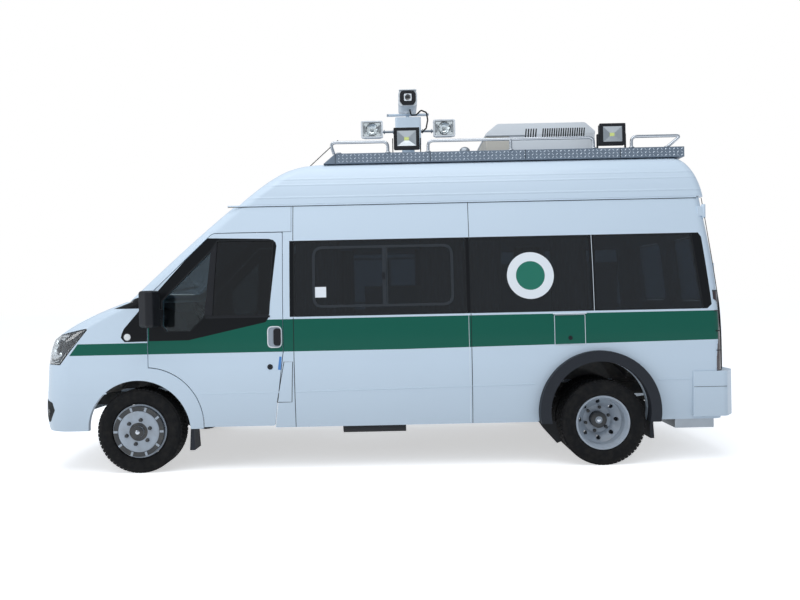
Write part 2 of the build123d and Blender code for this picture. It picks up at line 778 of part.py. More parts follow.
COLUMN_BASE = (-1700, -490, 1060)
COLUMN_TOP = (-1522, -490, 1215)
column_end = Vector(*COLUMN_TOP) + (Vector(*COLUMN_BASE) - Vector(*COLUMN_TOP)).normalized() * 36
save(joined(dashboard.part, rod(COLUMN_BASE, tuple(column_end), 32)), "dashboard")

with BuildPart() as steering_wheel:
    column = Plane(origin=COLUMN_TOP, z_dir=Vector(*COLUMN_TOP) - Vector(*COLUMN_BASE))
    with BuildSketch(Plane(column.origin, x_dir=column.z_dir, z_dir=column.x_dir)):
        with Locations((0, 195)):
            Circle(14)
    revolve(axis=Axis(column.origin, column.z_dir), revolution_arc=360)
    with BuildSketch(column.offset(-30)):
        Circle(70)
    extrude(amount=35)
    with BuildSketch(column.offset(-12)):
        Rectangle(385, 36)
        with Locations((0, -95)):
            Rectangle(36, 190)
    extrude(amount=14)
save(steering_wheel.part, "steering_wheel")

with BuildPart() as cabinets:
    add(block(-200, 700, 480, 850, 702, 1500))
    add(block(1000, 2400, 480, 545, 702, 1700))
save(cabinets.part, "instrument_cabinets")

# ---------------------------------------------------------------- roof deck and equipment
with BuildPart() as roof_deck:
    with BuildSketch(Plane.XZ.offset(-740)):
        with BuildLine():
            Polyline((-564, 2523), (-411, DECK_Z), (2560, DECK_Z), (2560, 2523), close=True)
        make_face()
    extrude(amount=1480)
    with BuildSketch(Plane.XZ.offset(-728)):
        with BuildLine():
            Polyline((-540, 2523), (-405, 2603), (2548, 2603), (2548, 2523), close=True)
        make_face()
    extrude(amount=1456, mode=Mode.SUBTRACT)
save(roof_deck.part, "roof_deck")

RAILS = [
    [(-437, 2610), (-395, 2700), (-55, 2700), (-55, 2617)],
    [(382, 2617), (382, 2700), (1813, 2700), (1813, 2617)],
    [(2115, 2617), (2115, 2700), (2470, 2700), (2552, 2610)],
]
with BuildPart() as roof_rails:
    for points in RAILS:
        for y in (-722, 722):
            path_points = [(x, y, z) for x, z in points]
            with BuildLine(mode=Mode.PRIVATE) as rail_path:
                FilletPolyline(*path_points, radius=35)
            with BuildSketch(Plane(rail_path.line @ 0, z_dir=rail_path.line % 0)):
                Circle(13)
            sweep(path=rail_path.line)
    add(block(-1000, 3000, -900, 900, 2500, DECK_Z + 0.5), mode=Mode.SUBTRACT)
save(roof_rails.part, "roof_rails")

with BuildPart() as ac_unit:
    with BuildSketch(Plane.XZ.offset(-500)):
        with BuildLine():
            FilletPolyline((913, 2618), (913, 2790), (1010, 2890), (1770, 2890), (1871, 2790), (1871, 2618), radius=30, close=True)
        make_face()
    extrude(amount=1000)
save(ac_unit.part, "ac_unit")

with BuildPart() as floodlights:
    for x0, x1, height in ((90, 318, 184), (1847, 2058, 176)):
        for side in (-1, 1):
            add(block(x0, x1, side * 690 - 35, side * 690 + 35, 2624, 2624 + height))
save(floodlights.part, "floodlights")

with BuildPart() as whip_antenna:
    add(rod((-890, 0, 2452), (-760, 0, 2570), 16))
    add(rod((-760, 0, 2570), (-400, 0, 2890), 4))
save(cut(whip_antenna.part, cap_body(-0.5)), "whip_antenna")

TOWER_X = 270
with BuildPart() as tower_base:
    add(block(TOWER_X - 140, TOWER_X + 140, -140, 140, 2617, 2660))
    with BuildSketch(Plane.XY.offset(2660)):
        with Locations((TOWER_X, 0)):
            Circle(60)
    extrude(amount=150)
save(tower_base.part, "tower_base")

TILT_Z = 2965
with BuildPart() as tower_head:
    add(block(TOWER_X - 120, TOWER_X + 120, -130, 130, 2815, 3063))
    fillet(tower_head.edges().filter_by(Axis.Z), radius=20)
    add(block(TOWER_X - 200, TOWER_X + 200, -25, 25, 3110, 3122))
    add(block(TOWER_X - 15, TOWER_X + 15, -15, 15, 3060, 3112))
    with BuildSketch(Plane.YZ.offset(TOWER_X - 300)):
        with Locations((0, TILT_Z)):
            Circle(11)
    extrude(amount=600, mode=Mode.SUBTRACT)
save(tower_head.part, "tower_head")

with BuildPart() as tower_lamps:
    for side in (-1, 1):
        x = TOWER_X + side * 342
        add(block(x - 104, x + 104, -60, 40, 2893, 3055))
    with BuildSketch(Plane.YZ.offset(TOWER_X - 342)):
        with Locations((0, TILT_Z)):
            Circle(9)
    extrude(amount=684)
save(tower_lamps.part, "tower_lamps")

with BuildPart() as camera:
    with BuildSketch(Plane.XZ.offset(-150)):
        with Locations((TOWER_X, 3226)):
            RectangleRounded(175, 147, 40)
    extrude(amount=330)
    with BuildSketch(Plane.XY.offset(3124)):
        with Locations((TOWER_X, 0)):
            Circle(30)
    extrude(amount=40)
save(camera.part, "camera")

with BuildPart() as camera_cable:
    with BuildLine() as cable_path:
        FilletPolyline((TOWER_X + 20, -60, 3150), (TOWER_X + 30, -70, 3095), (TOWER_X + 80, -80, 3095), (TOWER_X + 125, -90, 3135), (TOWER_X + 175, -100, 3110), (TOWER_X + 185, -100, 3040), (TOWER_X + 170, -90, 2965), (TOWER_X + 125, -70, 2930), radius=18)
    with BuildSketch(Plane(cable_path.line @ 0, z_dir=cable_path.line % 0)):
        Circle(7)
    sweep()
save(camera_cable.part, "camera_cable")

# ---------------------------------------------------------------- wheels and steering
def tyre_at(x, y):
    """A tyre: tread with rounded shoulders, bulged sidewalls and a bead seat."""
    half = TYRE_WIDTH / 2
    with BuildPart() as tyre:
        with BuildSketch(Plane.XY):
            with BuildLine():
                Polyline((212, -69), (222, -69), (240, -84), (275, -half), (305, -half + 4), (330, -74), (TYRE_R, -60), (TYRE_R, 60), (330, 74), (305, half - 4), (275, half), (240, 84), (222, 69), (212, 69), close=True)
            make_face()
        revolve(axis=Axis.Y)
    return Pos(x, y, AXLE_Z) * tyre.part


RIM_OFFSET = 105  # from the rim's middle plane to the face that bolts to the hub


def rim_at(x, y, outward):
    """A steel rim in one turn: barrel, drop centre and a dished disc with hand holes."""
    with BuildPart() as rim:
        with BuildSketch(Plane.XY):
            with BuildLine():
                Polyline(
                    (211, -70), (205, -60), (194, -38), (194, 40), (205, 60), (211, 70), (218, 70), (218, 76),
                    (205, 76), (199, 66), (190, 48), (156, 74), (118, RIM_OFFSET), (40, RIM_OFFSET),
                    (40, RIM_OFFSET - 8), (113, RIM_OFFSET - 8), (150, 64), (184, 36), (186, -40), (197, -62),
                    (205, -76), (218, -76), (218, -70), close=True,
                )
            make_face()
        revolve(axis=Axis.Y)
        with BuildSketch(Plane.XZ.offset(-RIM_OFFSET)):
            with PolarLocations(150, 8):
                Circle(17)
        extrude(amount=90, mode=Mode.SUBTRACT)
    turned = rim.part if outward > 0 else mirror(rim.part, about=Plane.XZ)
    return Pos(x, y, AXLE_Z) * turned


front_rim = joined(
    rim_at(FRONT_AXLE_X, -FRONT_WHEEL_Y, -1),
    rod((FRONT_AXLE_X, -838, AXLE_Z), (FRONT_AXLE_X, -968, AXLE_Z), 70),
    rod((FRONT_AXLE_X, -960, AXLE_Z), (FRONT_AXLE_X, -990, AXLE_Z), 44),
)
save(tyre_at(FRONT_AXLE_X, -FRONT_WHEEL_Y), "front_left_tyre")
save(tyre_at(FRONT_AXLE_X, FRONT_WHEEL_Y), "front_right_tyre")
save(front_rim, "front_left_rim")
save(mirrored(front_rim), "front_right_rim")

rear_rims = joined(
    rim_at(REAR_AXLE_X, -REAR_OUTER_Y, 1),
    rim_at(REAR_AXLE_X, -REAR_INNER_Y, -1),
    rod((REAR_AXLE_X, -697, AXLE_Z), (REAR_AXLE_X, -812, AXLE_Z), 80),
    rod((REAR_AXLE_X, -800, AXLE_Z), (REAR_AXLE_X, -885, AXLE_Z), 58),
)
rear_tyres = joined(tyre_at(REAR_AXLE_X, -REAR_OUTER_Y), tyre_at(REAR_AXLE_X, -REAR_INNER_Y))
save(rear_tyres, "rear_left_tyres")
save(mirrored(rear_tyres), "rear_right_tyres")
save(rear_rims, "rear_left_rims")
save(mirrored(rear_rims), "rear_right_rims")

with BuildPart() as knuckle:
    with BuildSketch(Plane.XZ.offset(742)):
        with Locations((FRONT_AXLE_X, AXLE_Z)):
            Circle(60)
    extrude(amount=90)
    with BuildSketch(Plane.XZ.offset(742)):
        with Locations((FRONT_AXLE_X, 416)):
            Rectangle(56, 296)
    extrude(amount=30)
save(knuckle.part, "knuckle_left")
save(mirrored(knuckle.part), "knuckle_right")
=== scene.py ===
"""Environmental monitoring van: finishes, glazing, trim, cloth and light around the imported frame.

Frame: +X rearwards, +Y to the van's right, +Z up, in metres.
"""

import math
import random

import bmesh
import bpy
from mathutils import Matrix, Vector
from mathutils.bvhtree import BVHTree


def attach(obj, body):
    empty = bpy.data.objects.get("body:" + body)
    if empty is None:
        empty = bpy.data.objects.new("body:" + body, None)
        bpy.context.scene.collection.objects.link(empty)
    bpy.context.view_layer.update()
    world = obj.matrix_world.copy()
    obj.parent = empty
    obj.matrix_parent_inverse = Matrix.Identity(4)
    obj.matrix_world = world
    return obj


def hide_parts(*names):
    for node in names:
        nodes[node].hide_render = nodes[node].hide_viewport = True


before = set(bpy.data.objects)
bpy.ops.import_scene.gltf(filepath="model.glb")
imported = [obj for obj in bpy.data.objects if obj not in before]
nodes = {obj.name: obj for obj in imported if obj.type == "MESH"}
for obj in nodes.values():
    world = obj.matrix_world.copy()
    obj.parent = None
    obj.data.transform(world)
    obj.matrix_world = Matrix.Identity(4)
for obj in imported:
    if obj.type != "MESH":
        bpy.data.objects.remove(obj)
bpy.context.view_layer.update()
random.seed(11)

# ---------------------------------------------------------------- driving sizes, in millimetres, as the frame has them
MM = 0.001
HANDS = {-1: "left", 1: "right"}
HALF_WIDTH = 987
WAIST_Z = 880
LOWER_SIDE_R = 4322
UPPER_SIDE_R = 7000

DOOR_FRONT_X, DOOR_REAR_X = -1879, -792
STRIPE_Z = (967, 1228)
FENDER_STRIPE_TOP = 1060
FRONT_AXLE_X, REAR_AXLE_X, TYRE_R = -1975, 1775, 342
BOW_R = 3000
LOWER_NOSE = [(300, -2872, 250), (400, -2904, 270), (704, -2896, 280), (900, -2880, 280), (1095, -2822, 260)]
UPPER_NOSE = [(1095, -2822, 260), (1230, -2612, 240), (1336, -2375, 220), (1400, -2200, 200)]
TAIL = [(350, 2818), (1000, 2810), (1440, 2788), (1712, 2758), (2165, 2697)]
DECK_Z = 2605


def half_width(z):
    """The body's half width at a height: two large arcs that meet at the waist."""
    radius = LOWER_SIDE_R if z < WAIST_Z else UPPER_SIDE_R
    return HALF_WIDTH - (z - WAIST_Z) ** 2 / (2 * radius)


def between(table, z):
    """The row of a table at a height, read between its rows."""
    z = min(max(z, table[0][0]), table[-1][0])
    for low, high in zip(table, table[1:]):
        if z <= high[0]:
            share = (z - low[0]) / (high[0] - low[0])
            return [a + (b - a) * share for a, b in zip(low[1:], high[1:])]


def tail_x(z, y=0):
    """The back of the body, with the slight bow of its rear panel."""
    return between(TAIL, z)[0] - (y * y) / (2 * 9000)


def nose_point(z, y, lift=0):
    """A point on the front face: a wide bow."""
    front, _ = between(LOWER_NOSE if z < 1095 else UPPER_NOSE, z)
    return (front + BOW_R - math.sqrt(BOW_R**2 - y * y) - lift, y, z)


def nose_corner(x, z, side, lift=0):
    """A point on the rounded front corner, by its station along the van."""
    front, corner = between(LOWER_NOSE if z < 1095 else UPPER_NOSE, z)
    width = half_width(z)
    centre_y = width - corner
    centre_x = front + BOW_R - math.sqrt((BOW_R - corner) ** 2 - centre_y**2)
    if x >= centre_x:
        return (x, side * (width + lift), z)
    dx = max(x - centre_x, -corner)
    y = centre_y + math.sqrt(corner**2 - dx * dx)
    return (x + lift * dx / corner, side * (y + lift * (y - centre_y) / corner), z)


# ---------------------------------------------------------------- building small pieces
class Pile:
    """Vertices and faces, in millimetres, gathered for one piece."""

    def __init__(self):
        self.verts, self.faces = [], []

    def add(self, verts, faces):
        base = len(self.verts)
        self.verts += [Vector(v) for v in verts]
        self.faces += [tuple(base + i for i in face) for face in faces]
        return self

    def box(self, low, high, turn=None, about=None):
        """A box between two corners, turned by a matrix about a point."""
        corners = [Vector((x, y, z)) for z in (low[2], high[2]) for y in (low[1], high[1]) for x in (low[0], high[0])]
        if turn:
            centre = Vector(about) if about else (Vector(low) + Vector(high)) / 2
            corners = [turn @ (c - centre) + centre for c in corners]
        return self.add(corners, [(0, 2, 3, 1), (4, 5, 7, 6), (0, 1, 5, 4), (2, 6, 7, 3), (0, 4, 6, 2), (1, 3, 7, 5)])

    def turned(self, centre, axis, profile, sides=32):
        """A lathe shape: (radius, distance along the axis) points turned about an axis."""
        axis = Vector(axis).normalized()
        across = axis.orthogonal().normalized()
        up = axis.cross(across)
        verts, faces = [], []
        for radius, along in profile:
            for k in range(sides):
                angle = 2 * math.pi * k / sides
                verts.append(Vector(centre) + axis * along + (across * math.cos(angle) + up * math.sin(angle)) * max(radius, 0.01))
        for ring in range(len(profile) - 1):
            for k in range(sides):
                a, b = ring * sides + k, ring * sides + (k + 1) % sides
                faces.append((a, b, b + sides, a + sides))
        if profile[0][0] > 0:
            faces.append(tuple(reversed(range(sides))))
        if profile[-1][0] > 0:
            faces.append(tuple((len(profile) - 1) * sides + k for k in range(sides)))
        return self.add(verts, faces)

    def ring(self, centre, axis, profile, sides=32):
        """A closed profile turned about an axis, with no end faces."""
        start = len(self.faces)
        self.turned(centre, axis, profile + profile[:1], sides)
        self.faces = [f for i, f in enumerate(self.faces) if i < start or len(f) == 4]
        return self

    def rod(self, start, end, radius, sides=16):
        start, end = Vector(start), Vector(end)
        return self.turned(start, end - start, [(radius, 0), (radius, (end - start).length)], sides)

    def tube(self, path, radius, sides=10, closed=False):
        """A round bar along a path of points."""
        path = [Vector(p) for p in path]
        count = len(path)
        verts, faces, side = [], [], None
        for i, point in enumerate(path):
            ahead = path[(i + 1) % count] if closed or i < count - 1 else point
            behind = path[i - 1] if closed or i > 0 else point
            along = (ahead - behind).normalized()
            side = along.orthogonal().normalized() if side is None else (side - along * side.dot(along)).normalized()
            up = along.cross(side)
            verts += [point + (side * math.cos(t) + up * math.sin(t)) * radius for t in (2 * math.pi * k / sides for k in range(sides))]
        for i in range(count if closed else count - 1):
            for k in range(sides):
                a, b = i * sides + k, i * sides + (k + 1) % sides
                c, d = (i + 1) % count * sides + k, (i + 1) % count * sides + (k + 1) % sides
                faces.append((a, b, d, c))
        if not closed:
            faces += [tuple(reversed(range(sides))), tuple((count - 1) * sides + k for k in range(sides))]
        return self.add(verts, faces)

    def plate(self, outline, thick, put, holes=(), rows=0):
        """A plate with an outline of (u, v) points and holes; put(u, v, lift) gives its place in space.

        rows is the spacing of extra cuts along v, so that a plate can follow a curved surface.
        """
        bm = bmesh.new()
        for loop in (outline, *holes):
            made = [bm.verts.new((u, v, 0)) for u, v in loop]
            for a, b in zip(made, made[1:] + made[:1]):
                bm.edges.new((a, b))
        bmesh.ops.triangle_fill(bm, use_beauty=True, edges=bm.edges[:])
        if rows:
            low, high = min(v for _, v in outline), max(v for _, v in outline)
            cut_at = low + rows
            while cut_at < high - 1:
                bmesh.ops.bisect_plane(
                    bm, geom=bm.verts[:] + bm.edges[:] + bm.faces[:], plane_co=(0, cut_at, 0), plane_no=(0, 1, 0))
                cut_at += rows
        bm.verts.index_update()
        flat = [(v.co.x, v.co.y) for v in bm.verts]
        count = len(flat)
        front = [tuple(v.index for v in f.verts) for f in bm.faces]
        rim = [tuple(v.index for v in e.verts) for e in bm.edges if e.is_boundary]
        bm.free()
        verts = [put(u, v, thick) for u, v in flat] + [put(u, v, 0) for u, v in flat]
        faces = front + [tuple(count + i for i in reversed(f)) for f in front] + [(a, b, b + count, a + count) for a, b in rim]
        return self.add(verts, faces)

    def film(self, outline, lift=0, thick=1, side=-1, holes=(), rows=60):
        """A plate of (x, z) points that lies on the side of the body, lift above its skin."""
        return self.plate(outline, thick, lambda x, z, up: (x, side * (half_width(z) + lift + up), z), holes, rows)

    def put(self, name, made, body="body", bevel=0.0, smooth=35, weld=False):
        """Turns the pile into an object on a body, in metres."""
        mesh = bpy.data.meshes.new(name)
        mesh.from_pydata([v * MM for v in self.verts], [], self.faces)
        bm = bmesh.new()
        bm.from_mesh(mesh)
        if weld:
            bmesh.ops.remove_doubles(bm, verts=bm.verts[:], dist=0.00005)
        bmesh.ops.recalc_face_normals(bm, faces=bm.faces[:])
        bm.to_mesh(mesh)
        bm.free()
        mesh.materials.append(made)
        thing = bpy.data.objects.new(name, mesh)
        bpy.context.collection.objects.link(thing)
        if bevel:
            edge = thing.modifiers.new("edge", "BEVEL")
            edge.width, edge.segments, edge.limit_method = bevel * MM, 2, "ANGLE"
        mesh.shade_smooth()
        mesh.set_sharp_from_angle(angle=math.radians(smooth))
        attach(thing, body)
        return thing


def rounded(points, radius, steps=6):
    """An outline with its corners rounded; radius is one number or one for each corner."""
    out = []
    for i, point in enumerate(points):
        r = radius[i] if isinstance(radius, (list, tuple)) else radius
        p, a, b = Vector(point), Vector(points[i - 1]), Vector(points[(i + 1) % len(points)])
        to_a, to_b = (a - p).normalized(), (b - p).normalized()
        half = math.acos(max(-1, min(1, to_a.dot(to_b)))) / 2
        reach = min(r / math.tan(half), 0.49 * (a - p).length, 0.49 * (b - p).length) if r else 0
        if reach <= 0:
            out.append(tuple(p))
            continue
        for k in range(steps + 1):
            t = k / steps
            q = (p + to_a * reach) * (1 - t) ** 2 + p * 2 * t * (1 - t) + (p + to_b * reach) * t**2
            out.append(tuple(q))
    return out


def oblong(x0, x1, z0, z1, radius):
    return rounded([(x0, z0), (x0, z1), (x1, z1), (x1, z0)], radius)


def circle(x, z, radius, sides=40):
    return [(x + radius * math.cos(2 * math.pi * k / sides), z + radius * math.sin(2 * math.pi * k / sides)) for k in range(sides)]


def shrunk(points, by):
    """The outline moved inwards by a distance, for a convex or gently curved outline."""
    count = len(points)
    area = sum(points[i - 1][0] * points[i][1] - points[i][0] * points[i - 1][1] for i in range(count))
    sign = 1 if area > 0 else -1
    out = []
    for i in range(count):
        a, p, b = (Vector(points[j % count]) for j in (i - 1, i, i + 1))
        n1 = Vector((-(p - a).y, (p - a).x)).normalized() * sign
        n2 = Vector((-(b - p).y, (b - p).x)).normalized() * sign
        mean = (n1 + n2).normalized()
        out.append(tuple(p + mean * by / max(0.35, mean.dot(n1))))
    return out


# ---------------------------------------------------------------- colour and node helpers
def colour(code):
    """An sRGB hex code as linear RGBA."""
    parts = [int(code[i : i + 2], 16) / 255 for i in (1, 3, 5)]
    linear = [c / 12.92 if c <= 0.04045 else ((c + 0.055) / 1.055) ** 2.4 for c in parts]
    return (*linear, 1.0)


def node(tree, kind, inputs=None, **settings):
    """Adds a shader node, sets its settings, and fills or links its inputs."""
    made = tree.nodes.new(kind)
    for name, value in settings.items():
        setattr(made, name, value)
    for key, value in (inputs or {}).items():
        if isinstance(value, bpy.types.NodeSocket):
            tree.links.new(value, made.inputs[key])
        else:
            made.inputs[key].default_value = value
    return made


def material(name, base, roughness=0.5, metallic=0.0, **more):
    """A principled material with its plain sockets set; returns it with its tree and shader."""
    made = bpy.data.materials.new(name)
    made.use_nodes = True
    shader = made.node_tree.nodes["Principled BSDF"]
    shader.inputs["Base Color"].default_value = colour(base)
    shader.inputs["Roughness"].default_value = roughness
    shader.inputs["Metallic"].default_value = metallic
    for key, value in more.items():
        shader.inputs[key.replace("_", " ")].default_value = value
    return made, made.node_tree, shader


def place(tree):
    """The point on the part at rest, as x, y and z sockets, and the vector itself."""
    where = node(tree, "ShaderNodeTexCoord")
    split = node(tree, "ShaderNodeSeparateXYZ", {0: where.outputs["Object"]})
    return where, split.outputs


def maths(tree, operation, *values):
    made = node(tree, "ShaderNodeMath", dict(enumerate(values)), operation=operation)
    return made.outputs[0]


def mix(tree, share, under, over):
    """A colour that goes from under to over as share goes from 0 to 1."""
    made = node(tree, "ShaderNodeMix", data_type="RGBA")
    for index, value in ((0, share), (6, under), (7, over)):
        if isinstance(value, bpy.types.NodeSocket):
            tree.links.new(value, made.inputs[index])
        else:
            made.inputs[index].default_value = value
    return made.outputs[2]


def grain(tree, shader, size_mm, strength, detail=2.0, distance=0.0004):
    """Fine moulded or cast grain of a given size, as bump."""
    where = node(tree, "ShaderNodeTexCoord")
    noise = node(
        tree, "ShaderNodeTexNoise",
        {"Vector": where.outputs["Object"], "Scale": 1000 / size_mm, "Detail": detail},
    )
    bump = node(tree, "ShaderNodeBump", {"Height": noise.outputs["Fac"], "Strength": strength, "Distance": distance})
    tree.links.new(bump.outputs[0], shader.inputs["Normal"])
    return noise.outputs["Fac"]


def inside(tree, x, z, corners):
    """1 inside a convex outline of (x, z) corners in millimetres, given clockwise, else 0."""
    share = None
    corners = [(u * MM, v * MM) for u, v in corners]
    for (x0, z0), (x1, z1) in zip(corners, corners[1:] + corners[:1]):
        # signed distance to the right of the edge
        across = maths(tree, "MULTIPLY", maths(tree, "SUBTRACT", x, x0), z1 - z0)
        along = maths(tree, "MULTIPLY", maths(tree, "SUBTRACT", z, z0), x1 - x0)
        test = maths(tree, "GREATER_THAN", maths(tree, "SUBTRACT", across, along), 0.0)
        share = test if share is None else maths(tree, "MULTIPLY", share, test)
    return share


# ---------------------------------------------------------------- materials
PAINT_WHITE = "#cfdeeb"
PAINT_GREEN = "#0c5b4b"
PAINT_BLACK = "#090b0e"

DOOR_BLACK = [
    [(-1871, 1073), (-1871, 1395), (-1422, 1900), (-900, 1884), (-866, 1874), (-845, 1854), (-837, 1826), (-905, 1242), (-927, 1208), (-1552, 1074)],
]
SAIL_BLACK = [
    [(-2098, 1105), (-2091, 1135), (-2073, 1176), (-1936, 1335), (-1800, 1480), (-1800, 1072), (-2067, 1069)],
    [(-2190, 1338), (-2069, 1400), (-1860, 1455), (-1860, 1338)],
]
BAND_BLACK = [[(-733, 1245), (-733, 1863), (2600, 1863), (2623, 1826), (2676, 1279), (2640, 1245)]]


def enamel(name, masks=(), stripe=False, swages=()):
    """Two-pack vehicle enamel: an even colour under a hard clear coat, a little orange peel in the gloss.

    masks are black regions of the side, and stripe adds the green band, both on outer side faces only.
    """
    made, tree, shader = material(name, PAINT_WHITE, 0.34, Coat_Weight=0.14, Coat_Roughness=0.06, Specular_IOR_Level=0.16)
    where, (x, y, z) = place(tree)
    cloud = node(tree, "ShaderNodeTexNoise", {"Vector": where.outputs["Object"], "Scale": 1.6, "Detail": 3.0})
    base = mix(tree, maths(tree, "MULTIPLY", cloud.outputs["Fac"], 0.10), colour(PAINT_WHITE), colour("#a9bccd"))
    # greyer towards the bottom: none above 0.85 m, 28 percent at 0.28 m and below
    low = node(
        tree, "ShaderNodeMapRange",
        {"Value": z, "From Min": 0.28, "From Max": 0.85, "To Min": 0.28, "To Max": 0.0},
    )
    base = mix(tree, low.outputs[0], base, colour("#9aa3aa"))
    if stripe or masks:
        facing = node(tree, "ShaderNodeSeparateXYZ", {0: where.outputs["Normal"]}).outputs[1]
        outer = maths(tree, "GREATER_THAN", maths(tree, "MULTIPLY", facing, y), 0.45)
        if stripe:
            top = maths(tree, "ADD", FENDER_STRIPE_TOP * MM, maths(
                tree, "MULTIPLY", maths(tree, "GREATER_THAN", x, (DOOR_FRONT_X - 4) * MM), (STRIPE_Z[1] - FENDER_STRIPE_TOP) * MM))
            # the lower edge climbs a little towards the back
            climb = maths(tree, "MULTIPLY", maths(tree, "MAXIMUM", maths(tree, "SUBTRACT", x, 0.178), 0.0), 0.0107)
            foot = maths(tree, "ADD", climb, STRIPE_Z[0] * MM)
            band = maths(tree, "MULTIPLY", maths(tree, "GREATER_THAN", z, foot), maths(tree, "LESS_THAN", z, top))
            # its front end is cut on a slant, on the fender
            start = maths(tree, "ADD", -3.232, maths(tree, "MULTIPLY", z, 0.74))
            band = maths(tree, "MULTIPLY", band, maths(tree, "GREATER_THAN", x, start))
            band = maths(tree, "MULTIPLY", band, maths(tree, "LESS_THAN", x, 2.783))
            base = mix(tree, maths(tree, "MULTIPLY", band, outer), base, colour(PAINT_GREEN))
        for corners in masks:
            region = inside(tree, x, z, corners)
            base = mix(tree, maths(tree, "MULTIPLY", region, outer), base, colour(PAINT_BLACK))
    tree.links.new(base, shader.inputs["Base Color"])
    if swages:
        # pressed ridges along the sides, each a few millimetres high
        height = 0.0
        for level in swages:
            away = maths(tree, "ABSOLUTE", maths(tree, "SUBTRACT", z, level * MM))
            ridge = node(tree, "ShaderNodeMapRange", {"Value": away, "From Min": 0.0, "From Max": 0.012, "To Min": 1.0, "To Max": 0.0},
                         interpolation_type="SMOOTHSTEP")
            height = maths(tree, "ADD", height, ridge.outputs[0])
        pressed = node(tree, "ShaderNodeBump", {"Height": height, "Strength": 0.6, "Distance": 0.004})
        tree.links.new(pressed.outputs[0], shader.inputs["Normal"])
    peel = node(tree, "ShaderNodeTexNoise", {"Vector": where.outputs["Object"], "Scale": 160.0, "Detail": 1.0})
    bump = node(tree, "ShaderNodeBump", {"Height": peel.outputs["Fac"], "Strength": 0.05, "Distance": 0.0006})
    tree.links.new(bump.outputs[0], shader.inputs["Coat Normal"])
    return made


plain_enamel = enamel("white_enamel")
cap_enamel = enamel("white_enamel_cap", swages=(2225, 2330, 2380))
cab_enamel = enamel("white_enamel_cab", SAIL_BLACK)
side_enamel = enamel("striped_enamel_side", BAND_BLACK, stripe=True)
door_enamel = enamel("striped_enamel_door", DOOR_BLACK, stripe=True)
fender_enamel = enamel("striped_enamel_fender", SAIL_BLACK, stripe=True)
pale_enamel = material("pale_seam_enamel", "#dfe8f0", 0.4)[0]


def moulded(name, code, roughness, size_mm=1.2, strength=0.25):
    """Injection-moulded plastic with spark-eroded grain; the grain is drawn coarse enough to show."""
    made, tree, shader = material(name, code, roughness, Specular_IOR_Level=0.3)
    fine = grain(tree, shader, size_mm, strength)
    spread = node(tree, "ShaderNodeMapRange", {"Value": fine, "To Min": roughness - 0.08, "To Max": roughness + 0.10})
    tree.links.new(spread.outputs[0], shader.inputs["Roughness"])
    return made


black_moulding = moulded("black_moulded_polypropylene", "#14161b", 0.5)
flare_moulding = moulded("grey_black_moulded_polypropylene", "#20242b", 0.6)
dash_moulding = moulded("grained_dashboard_plastic", "#2a2b2e", 0.62, 2.0, 0.4)
white_moulding = moulded("white_moulded_abs", "#dfe4e8", 0.38, 3.0, 0.06)
cream_moulding = moulded("cream_moulded_glass_fibre", "#c9c5bb", 0.5, 5.0, 0.08)
# near-black sheet for the painted shadow ahead of the rear wheels
shadow_sheet = moulded("black_painted_shadow_sheet", "#17181a", 0.75, 4.0, 0.3)


def glazing(name, code, roughness=0.02, weight=1.0, ior=1.5, behind=None):
    """Tinted toughened glass: clear gloss outside, colour in the body of the sheet."""
    made, tree, shader = material(name, code, roughness, IOR=ior, Transmission_Weight=weight)
    where, (x, y, z) = place(tree)
    film = node(tree, "ShaderNodeTexNoise", {"Vector": where.outputs["Object"], "Scale": 7.0, "Detail": 4.0})
    dust = node(tree, "ShaderNodeMapRange", {"Value": film.outputs["Fac"], "To Min": roughness, "To Max": roughness + 0.05})
    tree.links.new(dust.outputs[0], shader.inputs["Roughness"])
    if behind:
        # painted shade: the pane behind the divider bar is coloured darker, for the dark cab seen through it; the bar
        # leans with the pillar
        edge, dark = behind
        rear = maths(tree, "GREATER_THAN", maths(tree, "SUBTRACT", x, maths(tree, "MULTIPLY", z, 0.07)), edge)
        tree.links.new(mix(tree, rear, colour(code), colour(dark)), shader.inputs["Base Color"])
    return made


privacy_glass = glazing("privacy_tinted_glass", "#4c5863")
# the door glass is coloured darker behind its divider bar: painted shade of the cab inside
door_glass = glazing("light_tinted_glass", "#9fb0b6", behind=(-1.468, "#1c2124"))
clear_lens = glazing("clear_polycarbonate_lens", "#f2f6f8", 0.03, 1.0, 1.58)


def metal(name, code, roughness, brushed_mm=0.0, axis="Z"):
    """Bare metal; a brushed one has streaks along its length, drawn coarse enough to show."""
    made, tree, shader = material(name, code, roughness, 1.0)
    where = node(tree, "ShaderNodeTexCoord")
    scale = (18.0, 18.0, 18.0)
    if brushed_mm:
        fine = 1000 / brushed_mm
        scale = tuple(fine * (0.04 if letter == axis else 1.0) for letter in "XYZ")
    stretch = node(tree, "ShaderNodeMapping", {"Vector": where.outputs["Object"], "Scale": scale})
    noise = node(tree, "ShaderNodeTexNoise", {"Vector": stretch.outputs[0], "Scale": 1.0, "Detail": 4.0})
    spread = node(
        tree, "ShaderNodeMapRange",
        {"Value": noise.outputs["Fac"], "To Min": max(0.04, roughness - 0.12), "To Max": roughness + 0.14},
    )
    tree.links.new(spread.outputs[0], shader.inputs["Roughness"])
    return made


polished_tube = metal("polished_stainless_tube", "#b9bec4", 0.22, 3.0, "X")
chrome_reflector = metal("vacuum_plated_reflector", "#d8dde0", 0.10)
grey_reflector = metal("satin_plated_reflector", "#aeb4b8", 0.35)
galvanised = metal("galvanised_steel", "#9aa1a8", 0.42)


